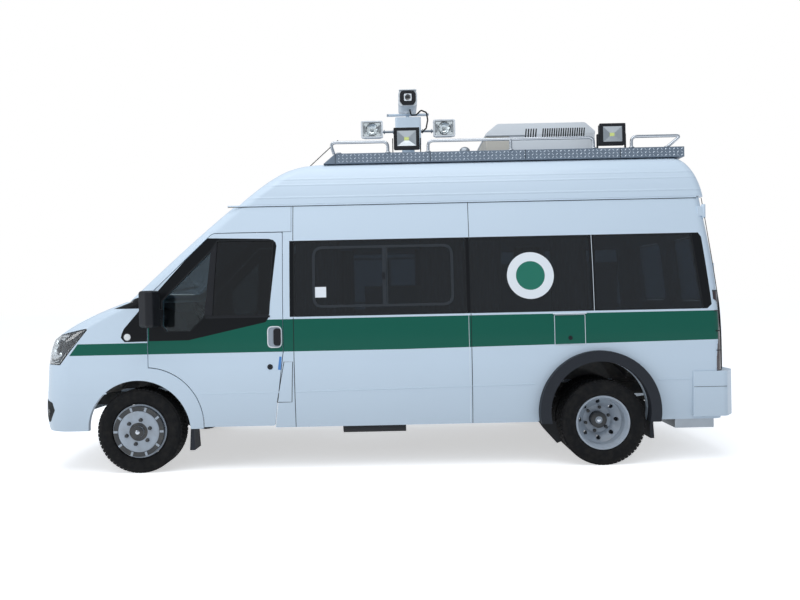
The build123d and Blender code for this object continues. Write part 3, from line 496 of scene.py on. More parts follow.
def painted_steel(name, code, roughness, dirt):
    """Wheel or chassis enamel over steel, with dust settled in by noise."""
    made, tree, shader = material(name, code, roughness, 0.0, Coat_Weight=0.15)
    where, (x, y, z) = place(tree)
    noise = node(tree, "ShaderNodeTexNoise", {"Vector": where.outputs["Object"], "Scale": 14.0, "Detail": 6.0})
    patch = node(tree, "ShaderNodeMapRange", {"Value": noise.outputs["Fac"], "From Min": 0.45, "From Max": 0.8, "To Max": dirt})
    tree.links.new(mix(tree, patch.outputs[0], colour(code), colour("#6d675d")), shader.inputs["Base Color"])
    spread = node(tree, "ShaderNodeMapRange", {"Value": noise.outputs["Fac"], "To Min": roughness - 0.1, "To Max": roughness + 0.2})
    tree.links.new(spread.outputs[0], shader.inputs["Roughness"])
    return made


wheel_enamel = painted_steel("silver_wheel_enamel", "#9fa9b4", 0.35, 0.3)
chassis_enamel = painted_steel("black_chassis_enamel", "#1a1b1c", 0.55, 0.45)
cast_metal = painted_steel("painted_casting", "#3a3d40", 0.6, 0.5)
cabinet_enamel = painted_steel("pale_cabinet_enamel", "#c9ced2", 0.45, 0.05)


def vulcanised(name, code="#101113"):
    """Tyre rubber: near black, matt, dusty grey where it rolls."""
    made, tree, shader = material(name, code, 0.82, Specular_IOR_Level=0.2)
    where, (x, y, z) = place(tree)
    noise = node(tree, "ShaderNodeTexNoise", {"Vector": where.outputs["Object"], "Scale": 22.0, "Detail": 7.0})
    patch = node(tree, "ShaderNodeMapRange", {"Value": noise.outputs["Fac"], "From Min": 0.4, "From Max": 0.75, "To Max": 0.35})
    tree.links.new(mix(tree, patch.outputs[0], colour(code), colour("#34312d")), shader.inputs["Base Color"])
    bump = node(tree, "ShaderNodeBump", {"Height": noise.outputs["Fac"], "Strength": 0.15, "Distance": 0.0008})
    tree.links.new(bump.outputs[0], shader.inputs["Normal"])
    return made


tyre_rubber = vulcanised("vulcanised_tyre_rubber")


def rolled_plate():
    """Mill-finish aluminium tread plate, dulled outdoors; the raised bars are geometry."""
    made, tree, shader = material("rolled_aluminium_tread_plate", "#808d9b", 0.5, 0.6)
    where, (x, y, z) = place(tree)
    noise = node(tree, "ShaderNodeTexNoise", {"Vector": where.outputs["Object"], "Scale": 9.0, "Detail": 6.0})
    tree.links.new(
        mix(tree, maths(tree, "MULTIPLY", noise.outputs["Fac"], 0.7), colour("#808d9b"), colour("#626d7a")),
        shader.inputs["Base Color"],
    )
    return made


tread_plate = rolled_plate()


def woven(name, warp, weft, thread_mm):
    """Plain weave: two thread directions as waves, drawn a little coarse so that they show."""
    made, tree, shader = material(name, warp, 0.85, Sheen_Weight=0.3)
    where = node(tree, "ShaderNodeTexCoord")
    waves = [
        node(
            tree, "ShaderNodeTexWave",
            {"Vector": where.outputs["Object"], "Scale": 1000 / thread_mm / 6.3, "Distortion": 0.6},
            bands_direction=direction,
        ).outputs["Fac"]
        for direction in ("X", "Z")
    ]
    crossing = maths(tree, "MULTIPLY", waves[0], waves[1])
    tree.links.new(mix(tree, crossing, colour(warp), colour(weft)), shader.inputs["Base Color"])
    bump = node(tree, "ShaderNodeBump", {"Height": crossing, "Strength": 0.4, "Distance": 0.0006})
    tree.links.new(bump.outputs[0], shader.inputs["Normal"])
    return made


seat_cloth = woven("woven_seat_cloth", "#3b3e43", "#54585e", 3.0)
curtain_cloth = woven("woven_curtain_cloth", "#8d867c", "#b5ada0", 2.5)
black_anodised = moulded("black_anodised_frame", "#2c3136", 0.4, 2.0, 0.05)
# the raised tread bars are drawn in a lighter, fully metallic grey than the plate
bar_tops = metal("light_tread_bar_metal", "#c3ccd5", 0.42)
# black rubber for seams and seals, also used for thin black strips of painted shade: the louvre openings and the
# shadow under the drip rails
seam_rubber_and_shade = moulded("black_seam_rubber_and_shade", "#15181b", 0.7)
dark_bowl = moulded("dark_grey_lamp_bowl", "#2b3036", 0.4, 3.0, 0.05)
grey_plastic = moulded("pale_grey_moulded_plastic", "#9aa4ae", 0.45)
satin_trim = moulded("satin_black_trim", "#1d2126", 0.35, 2.0, 0.05)
black_gloss = material("black_gloss_acrylic", "#07080a", 0.06, Coat_Weight=1.0)[0]
# dark steel for the nuts and hubs, also used for the ring of painted shade inside the front wheels
dark_steel_and_shade = painted_steel("dark_wheel_steel_and_shade", "#26292c", 0.5, 0.3)
blue_film = material("blue_masking_film", "#4f86c6", 0.5)[0]
led_panel = material("yellow_phosphor_led", "#d6e08a", 0.4)[0]

red_lens, _, _ = material("dark_red_acrylic_lens", "#2c070d", 0.12, Coat_Weight=1.0, Transmission_Weight=0.1)
amber_lens, _, _ = material("clear_side_marker_lens", "#dfe3e4", 0.15, Coat_Weight=0.8)
white_film, _, _ = material("white_vinyl_film", "#e9eef2", 0.45)
green_film, _, _ = material("green_vinyl_film", "#12705c", 0.4)
mirror_face = metal("mirror_glass_silvering", "#cfd6da", 0.03)


# ---------------------------------------------------------------- finishes on the CAD nodes
def finish_node(name, made):
    """Gives a CAD node one material in all its slots."""
    mesh = nodes[name].data
    if not mesh.materials:
        mesh.materials.append(made)
    for index in range(len(mesh.materials)):
        mesh.materials[index] = made


finishes = {
    cab_enamel: "cab_frame bonnet",
    cap_enamel: "roof_cap",
    plain_enamel: "front_bumper rear_bumper rear_door_left rear_door_right tower_base tower_head tower_lamps",
    side_enamel: "body_side_left body_side_right sliding_door socket_flap",
    door_enamel: "front_door_left front_door_right",
    fender_enamel: "front_fenders",
    privacy_glass: "body_glass rear_glass_left rear_glass_right",
    door_glass: "front_door_glass_left front_door_glass_right",
    clear_lens: "headlamps",
    red_lens: "tail_lamps",
    black_moulding: "grille mirror_left mirror_right wipers whip_antenna camera_cable floodlights fuel_tank steering_wheel",
    flare_moulding: "arch_flares_and_mudflaps",
    dash_moulding: "dashboard",
    white_moulding: "camera ac_unit",
    tread_plate: "roof_deck",
    polished_tube: "roof_rails",
    galvanised: "rear_step exhaust",
    chassis_enamel: "floor_pan chassis_frame suspension",
    cast_metal: "engine_block driveline rear_axle knuckle_left knuckle_right",
    cabinet_enamel: "instrument_cabinets",
    seat_cloth: "cab_seats",
    curtain_cloth: "curtains",
    tyre_rubber: "front_left_tyre front_right_tyre rear_left_tyres rear_right_tyres",
    wheel_enamel: "front_left_rim front_right_rim rear_left_rims rear_right_rims",
}
for made, names in finishes.items():
    for name in names.split():
        finish_node(name, made)

# ---------------------------------------------------------------- body side: seams, window frames, films and furniture
def line(points, width, closed=False):
    """An outline of a given width along a run of (x, z) points."""
    points = [Vector(p) for p in points]
    left, right = [], []
    for i, p in enumerate(points):
        ahead = points[i + 1] if i + 1 < len(points) else p
        behind = points[i - 1] if i else p
        run = (ahead - behind).normalized()
        across = Vector((-run.y, run.x)) * width / 2
        left.append(tuple(p + across))
        right.append(tuple(p - across))
    return left + right[::-1]


def frame_film(pile, outer, width, lift, thick, side):
    return pile.film(outer, lift, thick, side, [shrunk(outer, width)])


def disc_film(pile, x, z, radius, lift, thick, side, hole=0):
    return pile.film(circle(x, z, radius), lift, thick, side, [circle(x, z, hole)] if hole else ())


PANES = [
    [(-700, 1245), (-700, 1857), (702, 1857), (702, 1245)],
    [(728, 1245), (728, 1857), (1714, 1857), (1714, 1245)],
    [(1740, 1245), (1740, 1857), (2545, 1857), (2610, 1245)],
]
DOOR_PANE = [
    (-1771, 1195), (-1771, 1398), (-1375, 1800), (-1322, 1880), (-859, 1876), (-898, 1263), (-1415, 1263), (-1535, 1143), (-1735, 1143)]

bumper_skin = BVHTree.FromObject(nodes["front_bumper"], bpy.context.evaluated_depsgraph_get())


def on_bumper(x, z, side, lift):
    """The point of the bumper's skin met from the side, moved out by lift."""
    hit, normal, _, _ = bumper_skin.ray_cast(Vector((x, side * 1100, z)) * MM, Vector((0, -side, 0)))
    if hit is None:
        return nose_corner(x, z, side, lift)
    if normal.y * side < 0:
        normal = -normal
    return tuple(hit / MM + normal * lift)


for side, hand in HANDS.items():
    seams = Pile()
    runs = [
        [(731, 352), (731, 965)], [(731, 965), (731, 1243)], [(731, 1866), (731, 2163)],
        [(-850, 557), (-786, 884), (-716, 884), (-730, 557), (-850, 557)],
    ]
    if side < 0:
        runs += [[(-704, 352), (-704, 1240)], [(-704, 1868), (-704, 2163)]]
    for run in runs:
        seams.film(line(run, 5), -0.4, 0.9, side)
    # the seam down the rear pillar, and the gutter line over the sides
    seams.film(line([(2652, 2151), (2679, 1825), (2730, 1305), (2740, 986), (2739, 752)], 6), -0.4, 0.9, side)
    seams.put(f"body_seams_{hand}", seam_rubber_and_shade, smooth=10)
    if side < 0:
        Pile().film(line([(712, 360), (712, 1236)], 3), -0.4, 0.8, side).put("seam_edge_highlight_left", pale_enamel)

    # the plate at the foot of the door pillar
    Pile().film([(-787, 350), (-787, 969), (-868, 362), (-868, 350)], -3, 3, side).put(f"pillar_foot_{hand}", side_enamel)

    # pressed swage low on the side
    Pile().film(line([(-700, 640), (730, 657)], 9), -2.0, 3.5, side).put(f"side_swage_front_{hand}", side_enamel, bevel=1.6)
    Pile().film(line([(734, 657), (1232, 663)], 9), -2.0, 3.5, side).put(f"side_swage_mid_{hand}", side_enamel, bevel=1.6)
    Pile().film(line([(2233, 678), (2505, 681)], 9), -2.0, 3.5, side).put(f"side_swage_rear_{hand}", side_enamel, bevel=1.6)
    Pile().film(line([(-1494, 637), (-822, 640)], 9), -2.0, 3.5, side).put(f"door_swage_{hand}", door_enamel, f"front_door_{hand}", bevel=1.6)

    # rubber round each pane, standing a little proud of the glass
    seals = Pile()
    for pane in PANES:
        outer = rounded(pane, 26)
        seals.film(outer, -5, 6.2, side, [rounded(shrunk(pane, 9), 20)])
    seals.put(f"pane_seals_{hand}", seam_rubber_and_shade, smooth=40)
    Pile().film(line([(1727, 1246), (1727, 1862)], 4), -0.3, 0.9, side).put(f"pane_joint_{hand}", pale_enamel, smooth=10)
    Pile().film(rounded(DOOR_PANE, 14), -13, 14.5, side, [rounded(shrunk(DOOR_PANE, 9), 10)]).put(
        f"door_pane_seal_{hand}", seam_rubber_and_shade, f"front_door_{hand}", smooth=40)
    bars = Pile().film([(-1424, 1262), (-1372, 1790), (-1330, 1876), (-1322, 1868), (-1359, 1262)], -9, 9, side)
    bars.film([(-893, 1246), (-893, 1262), (-1415, 1262), (-1415, 1246)], 0, 4, side)
    bars.put(f"door_pane_bars_{hand}", black_moulding, f"front_door_{hand}", smooth=20)

    # sliding window in the first pane: a black aluminium frame, a meeting bar and its catch
    slider = Pile()
    frame_film(slider, oblong(-546, 597, 1314, 1812, 84), 20, -5, 8, side)
    slider.film([(22, 1332), (22, 1794), (52, 1794), (52, 1332)], -5, 9, side)
    slider.film([(56, 1334), (56, 1792), (64, 1792), (64, 1334)], -5, 7, side)
    slider.put(f"sliding_window_frame_{hand}", black_anodised, bevel=1.2)
    Pile().film(oblong(16, 44, 1535, 1591, 8), 4, 7, side).put(f"sliding_window_catch_{hand}", black_moulding, bevel=2)

    # generic round film on the second pane
    film = Pile()
    disc_film(film, 1220, 1540, 190, -0.6, 0.8, side, 117)
    film.put(f"window_ring_film_{hand}", white_film, smooth=20)
    film = Pile()
    disc_film(film, 1220, 1540, 117, -0.6, 1.0, side)
    film.put(f"window_disc_film_{hand}", green_film, smooth=20)

    # door handle: a bezel with a dished half and a dark grip
    bezel = oblong(-916, -798, 999, 1174, 42)
    dish = oblong(-906, -808, 1009, 1164, 36)
    shell = Pile()
    frame_film(shell, bezel, 9, -2, 8, side)
    shell.put(f"door_handle_bezel_{hand}", white_moulding, f"front_door_{hand}", bevel=2.5)
    Pile().film(shrunk(dish, -2), -2, 2.4, side).put(f"door_handle_dish_{hand}", grey_plastic, f"front_door_{hand}")
    Pile().film(oblong(-864, -806, 1018, 1155, 24), 0, 15, side).put(f"door_handle_grip_{hand}", black_moulding, f"front_door_{hand}", bevel=5)
    lock = Pile()
    disc_film(lock, -898, 846, 22, -1, 4, side, 12)
    disc_film(lock, -898, 846, 11.5, -1, 2.5, side)
    lock.put(f"door_lock_{hand}", black_moulding, f"front_door_{hand}", bevel=1)

    # side marker in the black sail of the fender
    Pile().turned((-2045, side * (half_width(1109) - 4), 1109), (0, side, 0), [(30, 0), (30, 5), (24, 9), (12, 12), (0, 13)], 32).put(
        f"side_marker_{hand}", amber_lens, smooth=60)
    Pile().ring((-2045, side * half_width(1109), 1109), (0, side, 0), [(29, -3), (36, -3), (36, 2.5), (33, 5), (29, 5)], 32).put(
        f"side_marker_rim_{hand}", black_moulding, smooth=50)

    # rear door hinges, at the corner pillar
    hinges = Pile()
    for z in (870, 1557, 2040):
        x = tail_x(z, 900)
        hinges.turned((x - 6, side * 884, z - 56), (0, 0, 1), [(14, 0), (16, 4), (16, 108), (14, 112)], 20)
        hinges.box((x - 60, side * 884 - 12, z - 40), (x - 4, side * 884 + 12, z + 40))
    hinges.put(f"rear_hinges_{hand}", side_enamel, bevel=3)

    # corner pocket of the front bumper, with its small round lamp
    pocket = [(-2794, 607), (-2690, 584), (-2666, 524), (-2724, 424), (-2754, 421), (-2792, 514)]
    Pile().plate([(v, u) for u, v in rounded(pocket, 12)], 2, lambda z, x, up: on_bumper(x, z, side, up), rows=10).put(
        f"bumper_pocket_{hand}", seam_rubber_and_shade, smooth=60)
    lamp = Vector(on_bumper(-2735, 512, side, 1))
    Pile().turned(lamp, Vector((-0.75, side * 0.66, 0)), [(30, -4), (30, 4), (25, 7), (24, 3), (0, 5)], 28).put(f"bumper_lamp_{hand}", clear_lens, smooth=40)

    # the bumper and the wing read as one panel
    Pile().plate([(652, -2790), (663, -2790), (663, -2226), (652, -2226)], 0.7, lambda z, x, up: on_bumper(x, 655 - (z < 655), side, up)[:2] + (z,), rows=12).put(
        f"bumper_joint_film_{hand}", plain_enamel, smooth=60)

    # dark wedge ahead of the rear wheel: painted shadow, standing in for the ground shadow under the van; and the
    # steel foot behind it
    Pile().plate(
        [(1262, 356), (1400, 356), (1448, 190), (1410, 176), (1300, 300)], 6,
        lambda x, z, up, s=side: (x, s * (960 - up), z)).put(f"front_splash_flap_{hand}", shadow_sheet, bevel=1)

    # tail lamp lens, wrapped round the corner, with dark joints between its chambers
    def wrapped(z, turn, up, s=side):
        angle = math.radians(turn)
        radius = 85 + up
        return (tail_x(z, 900) - 83 + radius * math.sin(angle), s * (half_width(z) - 85 + radius * math.cos(angle)), z)

    Pile().plate([(745, 16), (745, 88), (1388, 88), (1388, 16)], 4, lambda z, turn, up: wrapped(z, turn, up), rows=9).put(
        f"tail_lamp_lens_{hand}", red_lens, smooth=60)
    bands = Pile()
    for z in (742, 905, 1062, 1224, 1388):
        bands.plate([(z - 3, 15), (z - 3, 89), (z + 3, 89), (z + 3, 15)], 5.5, lambda z, turn, up: wrapped(z, turn, up), rows=9)
    bands.put(f"tail_lamp_joints_{hand}", seam_rubber_and_shade, smooth=60)

    # rear bumper joint line and its corner cap
    Pile().box((2516, side * 991 - 2, 613.5), (2780, side * 991 + 1.4, 616.5)).put(f"rear_bumper_joint_{hand}", seam_rubber_and_shade)
    Pile().box((2390, side * 740 - 165, 267), (2712, side * 740 + 165, 359)).put(f"rear_underframe_box_{hand}", galvanised, bevel=6)

# blank paper label inside the sliding window, and the film tape left on the door edge
Pile().film([(-544, 1397), (-544, 1482), (-436, 1482), (-436, 1397)], -0.6, 0.8, -1).put("blank_window_label", white_film)
Pile().film([(-836, 822), (-822, 928), (-803, 926), (-812, 820)], 0, 0.6, -1).put("door_edge_tape", blue_film, "front_door_left")

# instrument hatch: metal frame, gutter and key lock
hatch = Pile()
frame_film(hatch, oblong(1400, 1651, 972, 1219, 12), 4, -0.5, 2.0, -1)
hatch.put("hatch_frame", pale_enamel, bevel=0.8)
Pile().film([(1390, 1222), (1390, 1232), (1662, 1232), (1662, 1222)], 0, 10, -1).put("hatch_gutter", pale_enamel, bevel=2)
key = Pile()
disc_film(key, 1528, 1030, 17, -1, 5, -1, 8)
disc_film(key, 1528, 1030, 8, -1, 3, -1)
key.put("hatch_lock", black_moulding, "socket_flap", bevel=1)

# drip rail along the roof seam, both sides
for side, hand in HANDS.items():
    rail = Pile().film([(-1240, 2155), (-1240, 2166), (2612, 2166), (2612, 2155)], 0, 7, side)
    rail.put(f"drip_rail_{hand}", plain_enamel, bevel=2)
    Pile().film([(-1240, 2149), (-1240, 2154), (2612, 2154), (2612, 2149)], -0.4, 0.8, side).put(f"drip_rail_shadow_{hand}", seam_rubber_and_shade)

# ---------------------------------------------------------------- front
opening = Pile()
for row in range(5):
    z = 474 + row * 29
    for y0 in range(-540, 540, 30):
        opening.tube([nose_point(z, y0 + k * 15, -14) for k in range(3)], 3, 6)
for k in range(-18, 19):
    opening.tube([nose_point(458 + j * 25, k * 29, -12) for j in range(7)], 2.6, 6)
opening.put("lower_grille_mesh", black_moulding)
backing = Pile().plate(
    [(-600, 440), (-600, 625), (600, 625), (600, 440)], 3, lambda y, z, up: nose_point(z, y, up - 60))
backing.put("lower_grille_backing", seam_rubber_and_shade)
slats = Pile()
for row in range(7):
    z = 706 + row * 54
    slats.plate(
        [(-440 + row * 3, z), (-440 + row * 3, z + 24), (440 - row * 3, z + 24), (440 - row * 3, z)], 14,
        lambda y, z, up: nose_point(z, y, up))
slats.put("grille_slats", satin_trim, bevel=3)
Pile().plate(
    [(-470, 668), (-470, 1082), (470, 1082), (470, 668)], 1.5, lambda y, z, up: nose_point(z, y, up),
    [[(-452, 686), (-452, 1064), (452, 1064), (452, 686)]], rows=0).put("grille_surround", black_moulding)

# headlamps: a thin clear lens over a plated bowl with two reflectors
source = nodes["headlamps"].data
for side, hand in HANDS.items():
    lens, bowl = Pile(), Pile()
    corner_of = {}
    for polygon in source.polygons:
        middle = polygon.center
        if middle.y * side < 0:
            continue
        points = [source.vertices[i].co / MM for i in polygon.vertices]
        if polygon.normal.y * side > 0.1:
            base = len(lens.verts)
            lens.add(points, [tuple(range(len(points)))])
        elif polygon.normal.y * side < -0.1 and abs(abs(middle.y) - 0.48) > 0.002:
            bowl.add(points, [tuple(range(len(points)))])
    shell = lens.put(f"headlamp_lens_{hand}", clear_lens, smooth=60, weld=True)
    wall = shell.modifiers.new("wall", "SOLIDIFY")
    wall.thickness, wall.offset = 0.003, -1.0
    bowl.put(f"headlamp_bowl_{hand}", dark_bowl, smooth=60, weld=True)
    cups = Pile()
    aim = Vector((-1, side * 0.42, 0.05)).normalized()
    for x, y, z, r in ((-2700, 770, 1035, 62), (-2765, 640, 1010, 58), (-2640, 838, 960, 34)):
        cups.ring(Vector((x, side * y, z)), aim, [(r, 20), (r * 0.94, 4), (r * 0.72, -20), (r * 0.3, -36), (4, -38), (4, -42), (r * 0.34, -41), (r * 0.78, -24), (r * 1.03, 4), (r * 1.06, 20)], 36)
    cups.put(f"headlamp_reflectors_{hand}", chrome_reflector, smooth=40)
    bulbs = Pile()
    for x, y, z, r in ((-2700, 770, 1035, 15), (-2765, 640, 1010, 14), (-2640, 838, 960, 9)):
        bulbs.turned(Vector((x, side * y, z)), aim, [(r * 0.7, -34), (r * 0.7, -12), (r, -8), (r, 4), (r * 0.6, 10), (0, 11)], 20)
    bulbs.put(f"headlamp_bulbs_{hand}", amber_lens, smooth=50)
    if side < 0:
        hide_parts("headlamps")

# ---------------------------------------------------------------- rear
def rear_plate(pile, outline, lift, thick, holes=()):
    return pile.plate(outline, thick, lambda y, z, up: (tail_x(z, y) + lift + up, y, z), holes, rows=90)


for side, hand in HANDS.items():
    body = f"rear_door_{hand}"
    pane = [(side * 123, 1303), (side * 123, 1857), (side * 697, 1857), (side * 697, 1303)]
    rear_plate(Pile(), rounded(pane, 40), -6, 9, [rounded(shrunk(pane, 10), 34)]).put(f"rear_pane_seal_{hand}", seam_rubber_and_shade, body, smooth=40)
    panel = [(side * 110, 840), (side * 110, 1180), (side * 700, 1180), (side * 700, 840)]
    rear_plate(Pile(), rounded(panel, 34), -1, 3.5, [rounded(shrunk(panel, 12), 26)]).put(f"rear_panel_press_{hand}", plain_enamel, body, bevel=1)
rear_plate(Pile(), oblong(30, 170, 1222, 1262, 16), 0, 8).put("rear_door_handle_base", black_moulding, "rear_door_right", bevel=2)
rear_plate(Pile(), oblong(44, 156, 1230, 1254, 10), 8, 20).put("rear_door_handle", black_moulding, "rear_door_right", bevel=5)
rear_plate(Pile(), [(-14, 756), (-14, 2154), (8, 2154), (8, 756)], 0, 7).put("rear_door_meeting_strip", seam_rubber_and_shade, "rear_door_left", bevel=1.5)
oval = [(2900 + 24 * math.sin(t), 372 + 46 * math.cos(t)) for t in (2 * math.pi * k / 28 for k in range(28))]
step = Pile().plate(oval, 1400, lambda x, z, up: (x, up - 700, z)).put("rear_step_tube", polished_tube, bevel=3, smooth=50)
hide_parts("rear_step")
brackets = Pile()
for y in (-520, 520):
    brackets.box((2790, y - 30, 372), (2885, y + 30, 392))
brackets.put("rear_step_brackets", chassis_enamel, bevel=2)

# ---------------------------------------------------------------- roof
PLATFORM = [(-463, 2519), (-360, DECK_Z), (2580, DECK_Z), (2580, 2519)]
platform = Pile().plate(PLATFORM, 1480, lambda x, z, up: (x, up - 740, z))
platform.put("roof_platform", tread_plate, bevel=3)
tread = Pile()


def tread_bar(at, along, out, length=30, wide=7, high=2.4):
    """One raised lozenge of the tread pattern."""
    at, along, out = Vector(at), Vector(along).normalized(), Vector(out)
    across = along.cross(out)
    verts = [at - along * length / 2, at + across * wide / 2, at + along * length / 2, at - across * wide / 2]
    verts += [at - along * length / 5 + out * high, at + along * length / 5 + out * high]
    tread.add(verts, [(0, 1, 5, 4), (1, 2, 5), (2, 3, 4, 5), (3, 0, 4)])


for i in range(86):
    x = -330 + i * 34
    for row in range(3):
        z = 2536 + row * 26
        slant = 1 if (i + row) % 2 else -1
        if x < 2570:
            tread_bar((x, -740, z), (1, 0, slant), (0, -1, 0), 26, 8, 2.6)
            tread_bar((x, 740, z), (1, 0, slant), (0, 1, 0), 26, 8, 2.6)
for i in range(60):
    for j in range(30):
        slant = 1 if (i + j) % 2 else -1
        x, y = -335 + i * 49, -715 + j * 49
        if x < 2565:
            tread_bar((x, y, DECK_Z), (1, slant, 0), (0, 0, 1), 36, 9, 2.4)
for j in range(42):
    for row in range(3):
        tread_bar((2580, -715 + j * 35, 2536 + row * 26), (0, 1, 1 if (j + row) % 2 else -1), (1, 0, 0), 26, 8, 2.6)
treads = tread.put("roof_platform_tread", bar_tops, smooth=10)
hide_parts("roof_deck")
edge = Pile()
for x in (-360, 440, 1240, 2040):
    for y in (-741, 741):
        edge.box((x - 1.5, y - 1.5, 2521), (x + 1.5, y + 1.5, DECK_Z))
edge.put("roof_platform_joints", seam_rubber_and_shade)


def bent(points, radius, steps=5):
    """A run of points in space with its corners bent to a radius."""
    points = [Vector(p) for p in points]
    out = [points[0]]
    for a, p, b in zip(points, points[1:], points[2:]):
        to_a, to_b = (a - p), (b - p)
        reach = min(radius, to_a.length * 0.49, to_b.length * 0.49)
        to_a, to_b = to_a.normalized() * reach, to_b.normalized() * reach
        out += [(p + to_a) * (1 - t) ** 2 + p * 2 * t * (1 - t) + (p + to_b) * t**2 for t in (k / steps for k in range(steps + 1))]
    return out + [points[-1]]


rails, feet = Pile(), Pile()
for y in (-722, 722):
    for run in (
        [(-372, y, DECK_Z), (-402, y, 2700), (84, y, 2700), (84, y, DECK_Z)],
        [(424, y, DECK_Z), (424, y, 2700), (1821, y, 2700), (1821, y, DECK_Z)],
        [(2141, y, DECK_Z), (2141, y, 2700), (2560, y, 2700), (2440, y, DECK_Z)],
    ):
        rails.tube(bent(run, 46), 13, 14)
        for foot in (run[0], run[-1]):
            feet.turned((max(foot[0], -330), foot[1], DECK_Z), (0, 0, 1), [(15, 0), (24, 0), (24, 4), (18, 9), (15, 9)], 24)
    rails.rod((1122, y, DECK_Z), (1122, y, 2700), 13, 14)
    feet.turned((1122, y, DECK_Z), (0, 0, 1), [(15, 0), (24, 0), (24, 4), (18, 9), (15, 9)], 24)
guard = rails.put("roof_guard_rails", polished_tube, smooth=50)
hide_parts("roof_rails")
feet.put("roof_rail_feet", polished_tube, smooth=50)

# work lights at the platform's edge
first = True
for side, hand in HANDS.items():
    for spot, x in (("front", 244), ("rear", 1982)):
        low, high, y = 2632, 2814, side * 705
        out = side
        case = Pile()
        window = (x - 80, x + 80, low + 28, high - 26)
        case.plate(
            rounded([(x - 109, low), (x - 109, high), (x + 109, high), (x + 109, low)], 7), 18, lambda u, v, up, s=side: (u, s * (712 + up), v),
            [[(window[0], window[2]), (window[0], window[3]), (window[1], window[3]), (window[1], window[2])]])
        case.box((x - 104, min(side * 668, side * 712), low + 5), (x + 104, max(side * 668, side * 712), high - 5))
        for k in range(9):
            case.box((x - 96 + k * 23, min(side * 640, side * 668), low + 12), (x - 90 + k * 23, max(side * 640, side * 668), high - 12))
        case.box((x - 122, min(side * 672, side * 700), low - 24), (x - 114, max(side * 672, side * 700), low + 100))
        case.box((x + 114, min(side * 672, side * 700), low - 24), (x + 122, max(side * 672, side * 700), low + 100))
        case.box((x - 122, min(side * 672, side * 700), low - 27), (x + 122, max(side * 672, side * 700), low - 20))
        made = case.put(f"work_light_case_{spot}_{hand}", black_moulding, bevel=1.5)
        if first:
            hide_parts("floodlights")
            first = False
        # four sloping facets to a square light panel
        inner = (x - 20, x + 20, (low + high) / 2 - 14, (low + high) / 2 + 14)
        outer_y, inner_y = side * 728, side * 714
        corners = [(window[0], outer_y, window[2]), (window[1], outer_y, window[2]), (window[1], outer_y, window[3]), (window[0], outer_y, window[3])]
        corners += [(inner[0], inner_y, inner[2]), (inner[1], inner_y, inner[2]), (inner[1], inner_y, inner[3]), (inner[0], inner_y, inner[3])]
        Pile().add(corners, [(0, 1, 5, 4), (1, 2, 6, 5), (2, 3, 7, 6), (3, 0, 4, 7)]).put(f"work_light_reflector_{spot}_{hand}", grey_reflector, smooth=5)
        Pile().box((inner[0], inner_y - 1, inner[2]), (inner[1], inner_y + 1, inner[3])).put(f"work_light_panel_{spot}_{hand}", led_panel)

# air-conditioning unit: base, shell, and louvre openings drawn as black strips of painted shade
AC_Y = 500
Pile().plate([(943, DECK_Z + 10), (943, 2788), (1150, 2788), (1150, DECK_Z + 10)], 2 * AC_Y, lambda x, z, up: (x, up - AC_Y, z)).put(
    "ac_front_box", cream_moulding, bevel=8)
Pile().plate([(1146, DECK_Z + 10), (1146, 2788), (1900, 2788), (1900, DECK_Z + 10)], 2 * AC_Y + 4, lambda x, z, up: (x, up - AC_Y - 2, z)).put(
    "ac_base", white_moulding, bevel=6)
shell_outline = rounded([(940, 2784), (940, 2800), (1045, 2886), (1815, 2886), (1903, 2806), (1903, 2784)], [3, 14, 50, 50, 30, 3])
cover = Pile().plate(shell_outline, 2 * AC_Y + 8, lambda x, z, up: (x, up - AC_Y - 4, z))
cover = cover.put("ac_cover", white_moulding, bevel=16)
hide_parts("ac_unit")
# the louvre openings are thin black strips and dots on the side: painted shade inside the openings
slots = Pile()
for side in HANDS:
    for x in [1290 + k * 22 for k in range(5)] + [1440 + k * 20 for k in range(19)]:
        slots.plate([(x - 5, 2760), (x + 3, 2838), (x + 14, 2838), (x + 6, 2760)], 1, lambda u, v, up, s=side: (u, s * (AC_Y + 3.6 + up), v))
    for k in range(18):
        slots.turned((1456 + k * 21, side * (AC_Y + 0.2), 2663), (0, side, 0), [(4, 0), (4, 0.8)], 12)
slots.put("ac_louvre_shade", seam_rubber_and_shade, smooth=5)
trims = Pile()
for side in HANDS:
    trims.plate([(944, 2776), (944, 2784), (1290, 2784), (1290, 2776)], 4, lambda u, v, up, s=side: (u, s * (AC_Y + 3 + up), v))
trims.put("ac_joint_lines", galvanised, smooth=5)

# small weatherproof dome and a wedge-shaped housing further back
Pile().turned((776, -300, DECK_Z), (0, 0, 1), [(62, 0), (62, 14), (50, 20), (49, 88), (44, 108), (30, 122), (12, 129), (0, 130)], 36).put("gas_inlet_dome", galvanised, smooth=50)
Pile().plate([(2386, DECK_Z), (2420, 2680), (2520, 2680), (2570, DECK_Z)], 260, lambda x, z, up: (x, up - 130, z)).put("cable_gland_housing", black_moulding, bevel=8)
Pile().turned((610, -430, DECK_Z), (0, 0, 1), [(60, 0), (60, 12), (40, 18), (34, 30), (0, 34)], 28).put("deck_cable_gland", black_moulding, smooth=50)

# ---------------------------------------------------------------- lamp and camera tower
def facing(x, z, width, height, y, radius=6):
    return rounded([(x - width / 2, z - height / 2), (x - width / 2, z + height / 2), (x + width / 2, z + height / 2), (x + width / 2, z - height / 2)], radius)


def outward(u, v, up):
    return (u, -up, v)


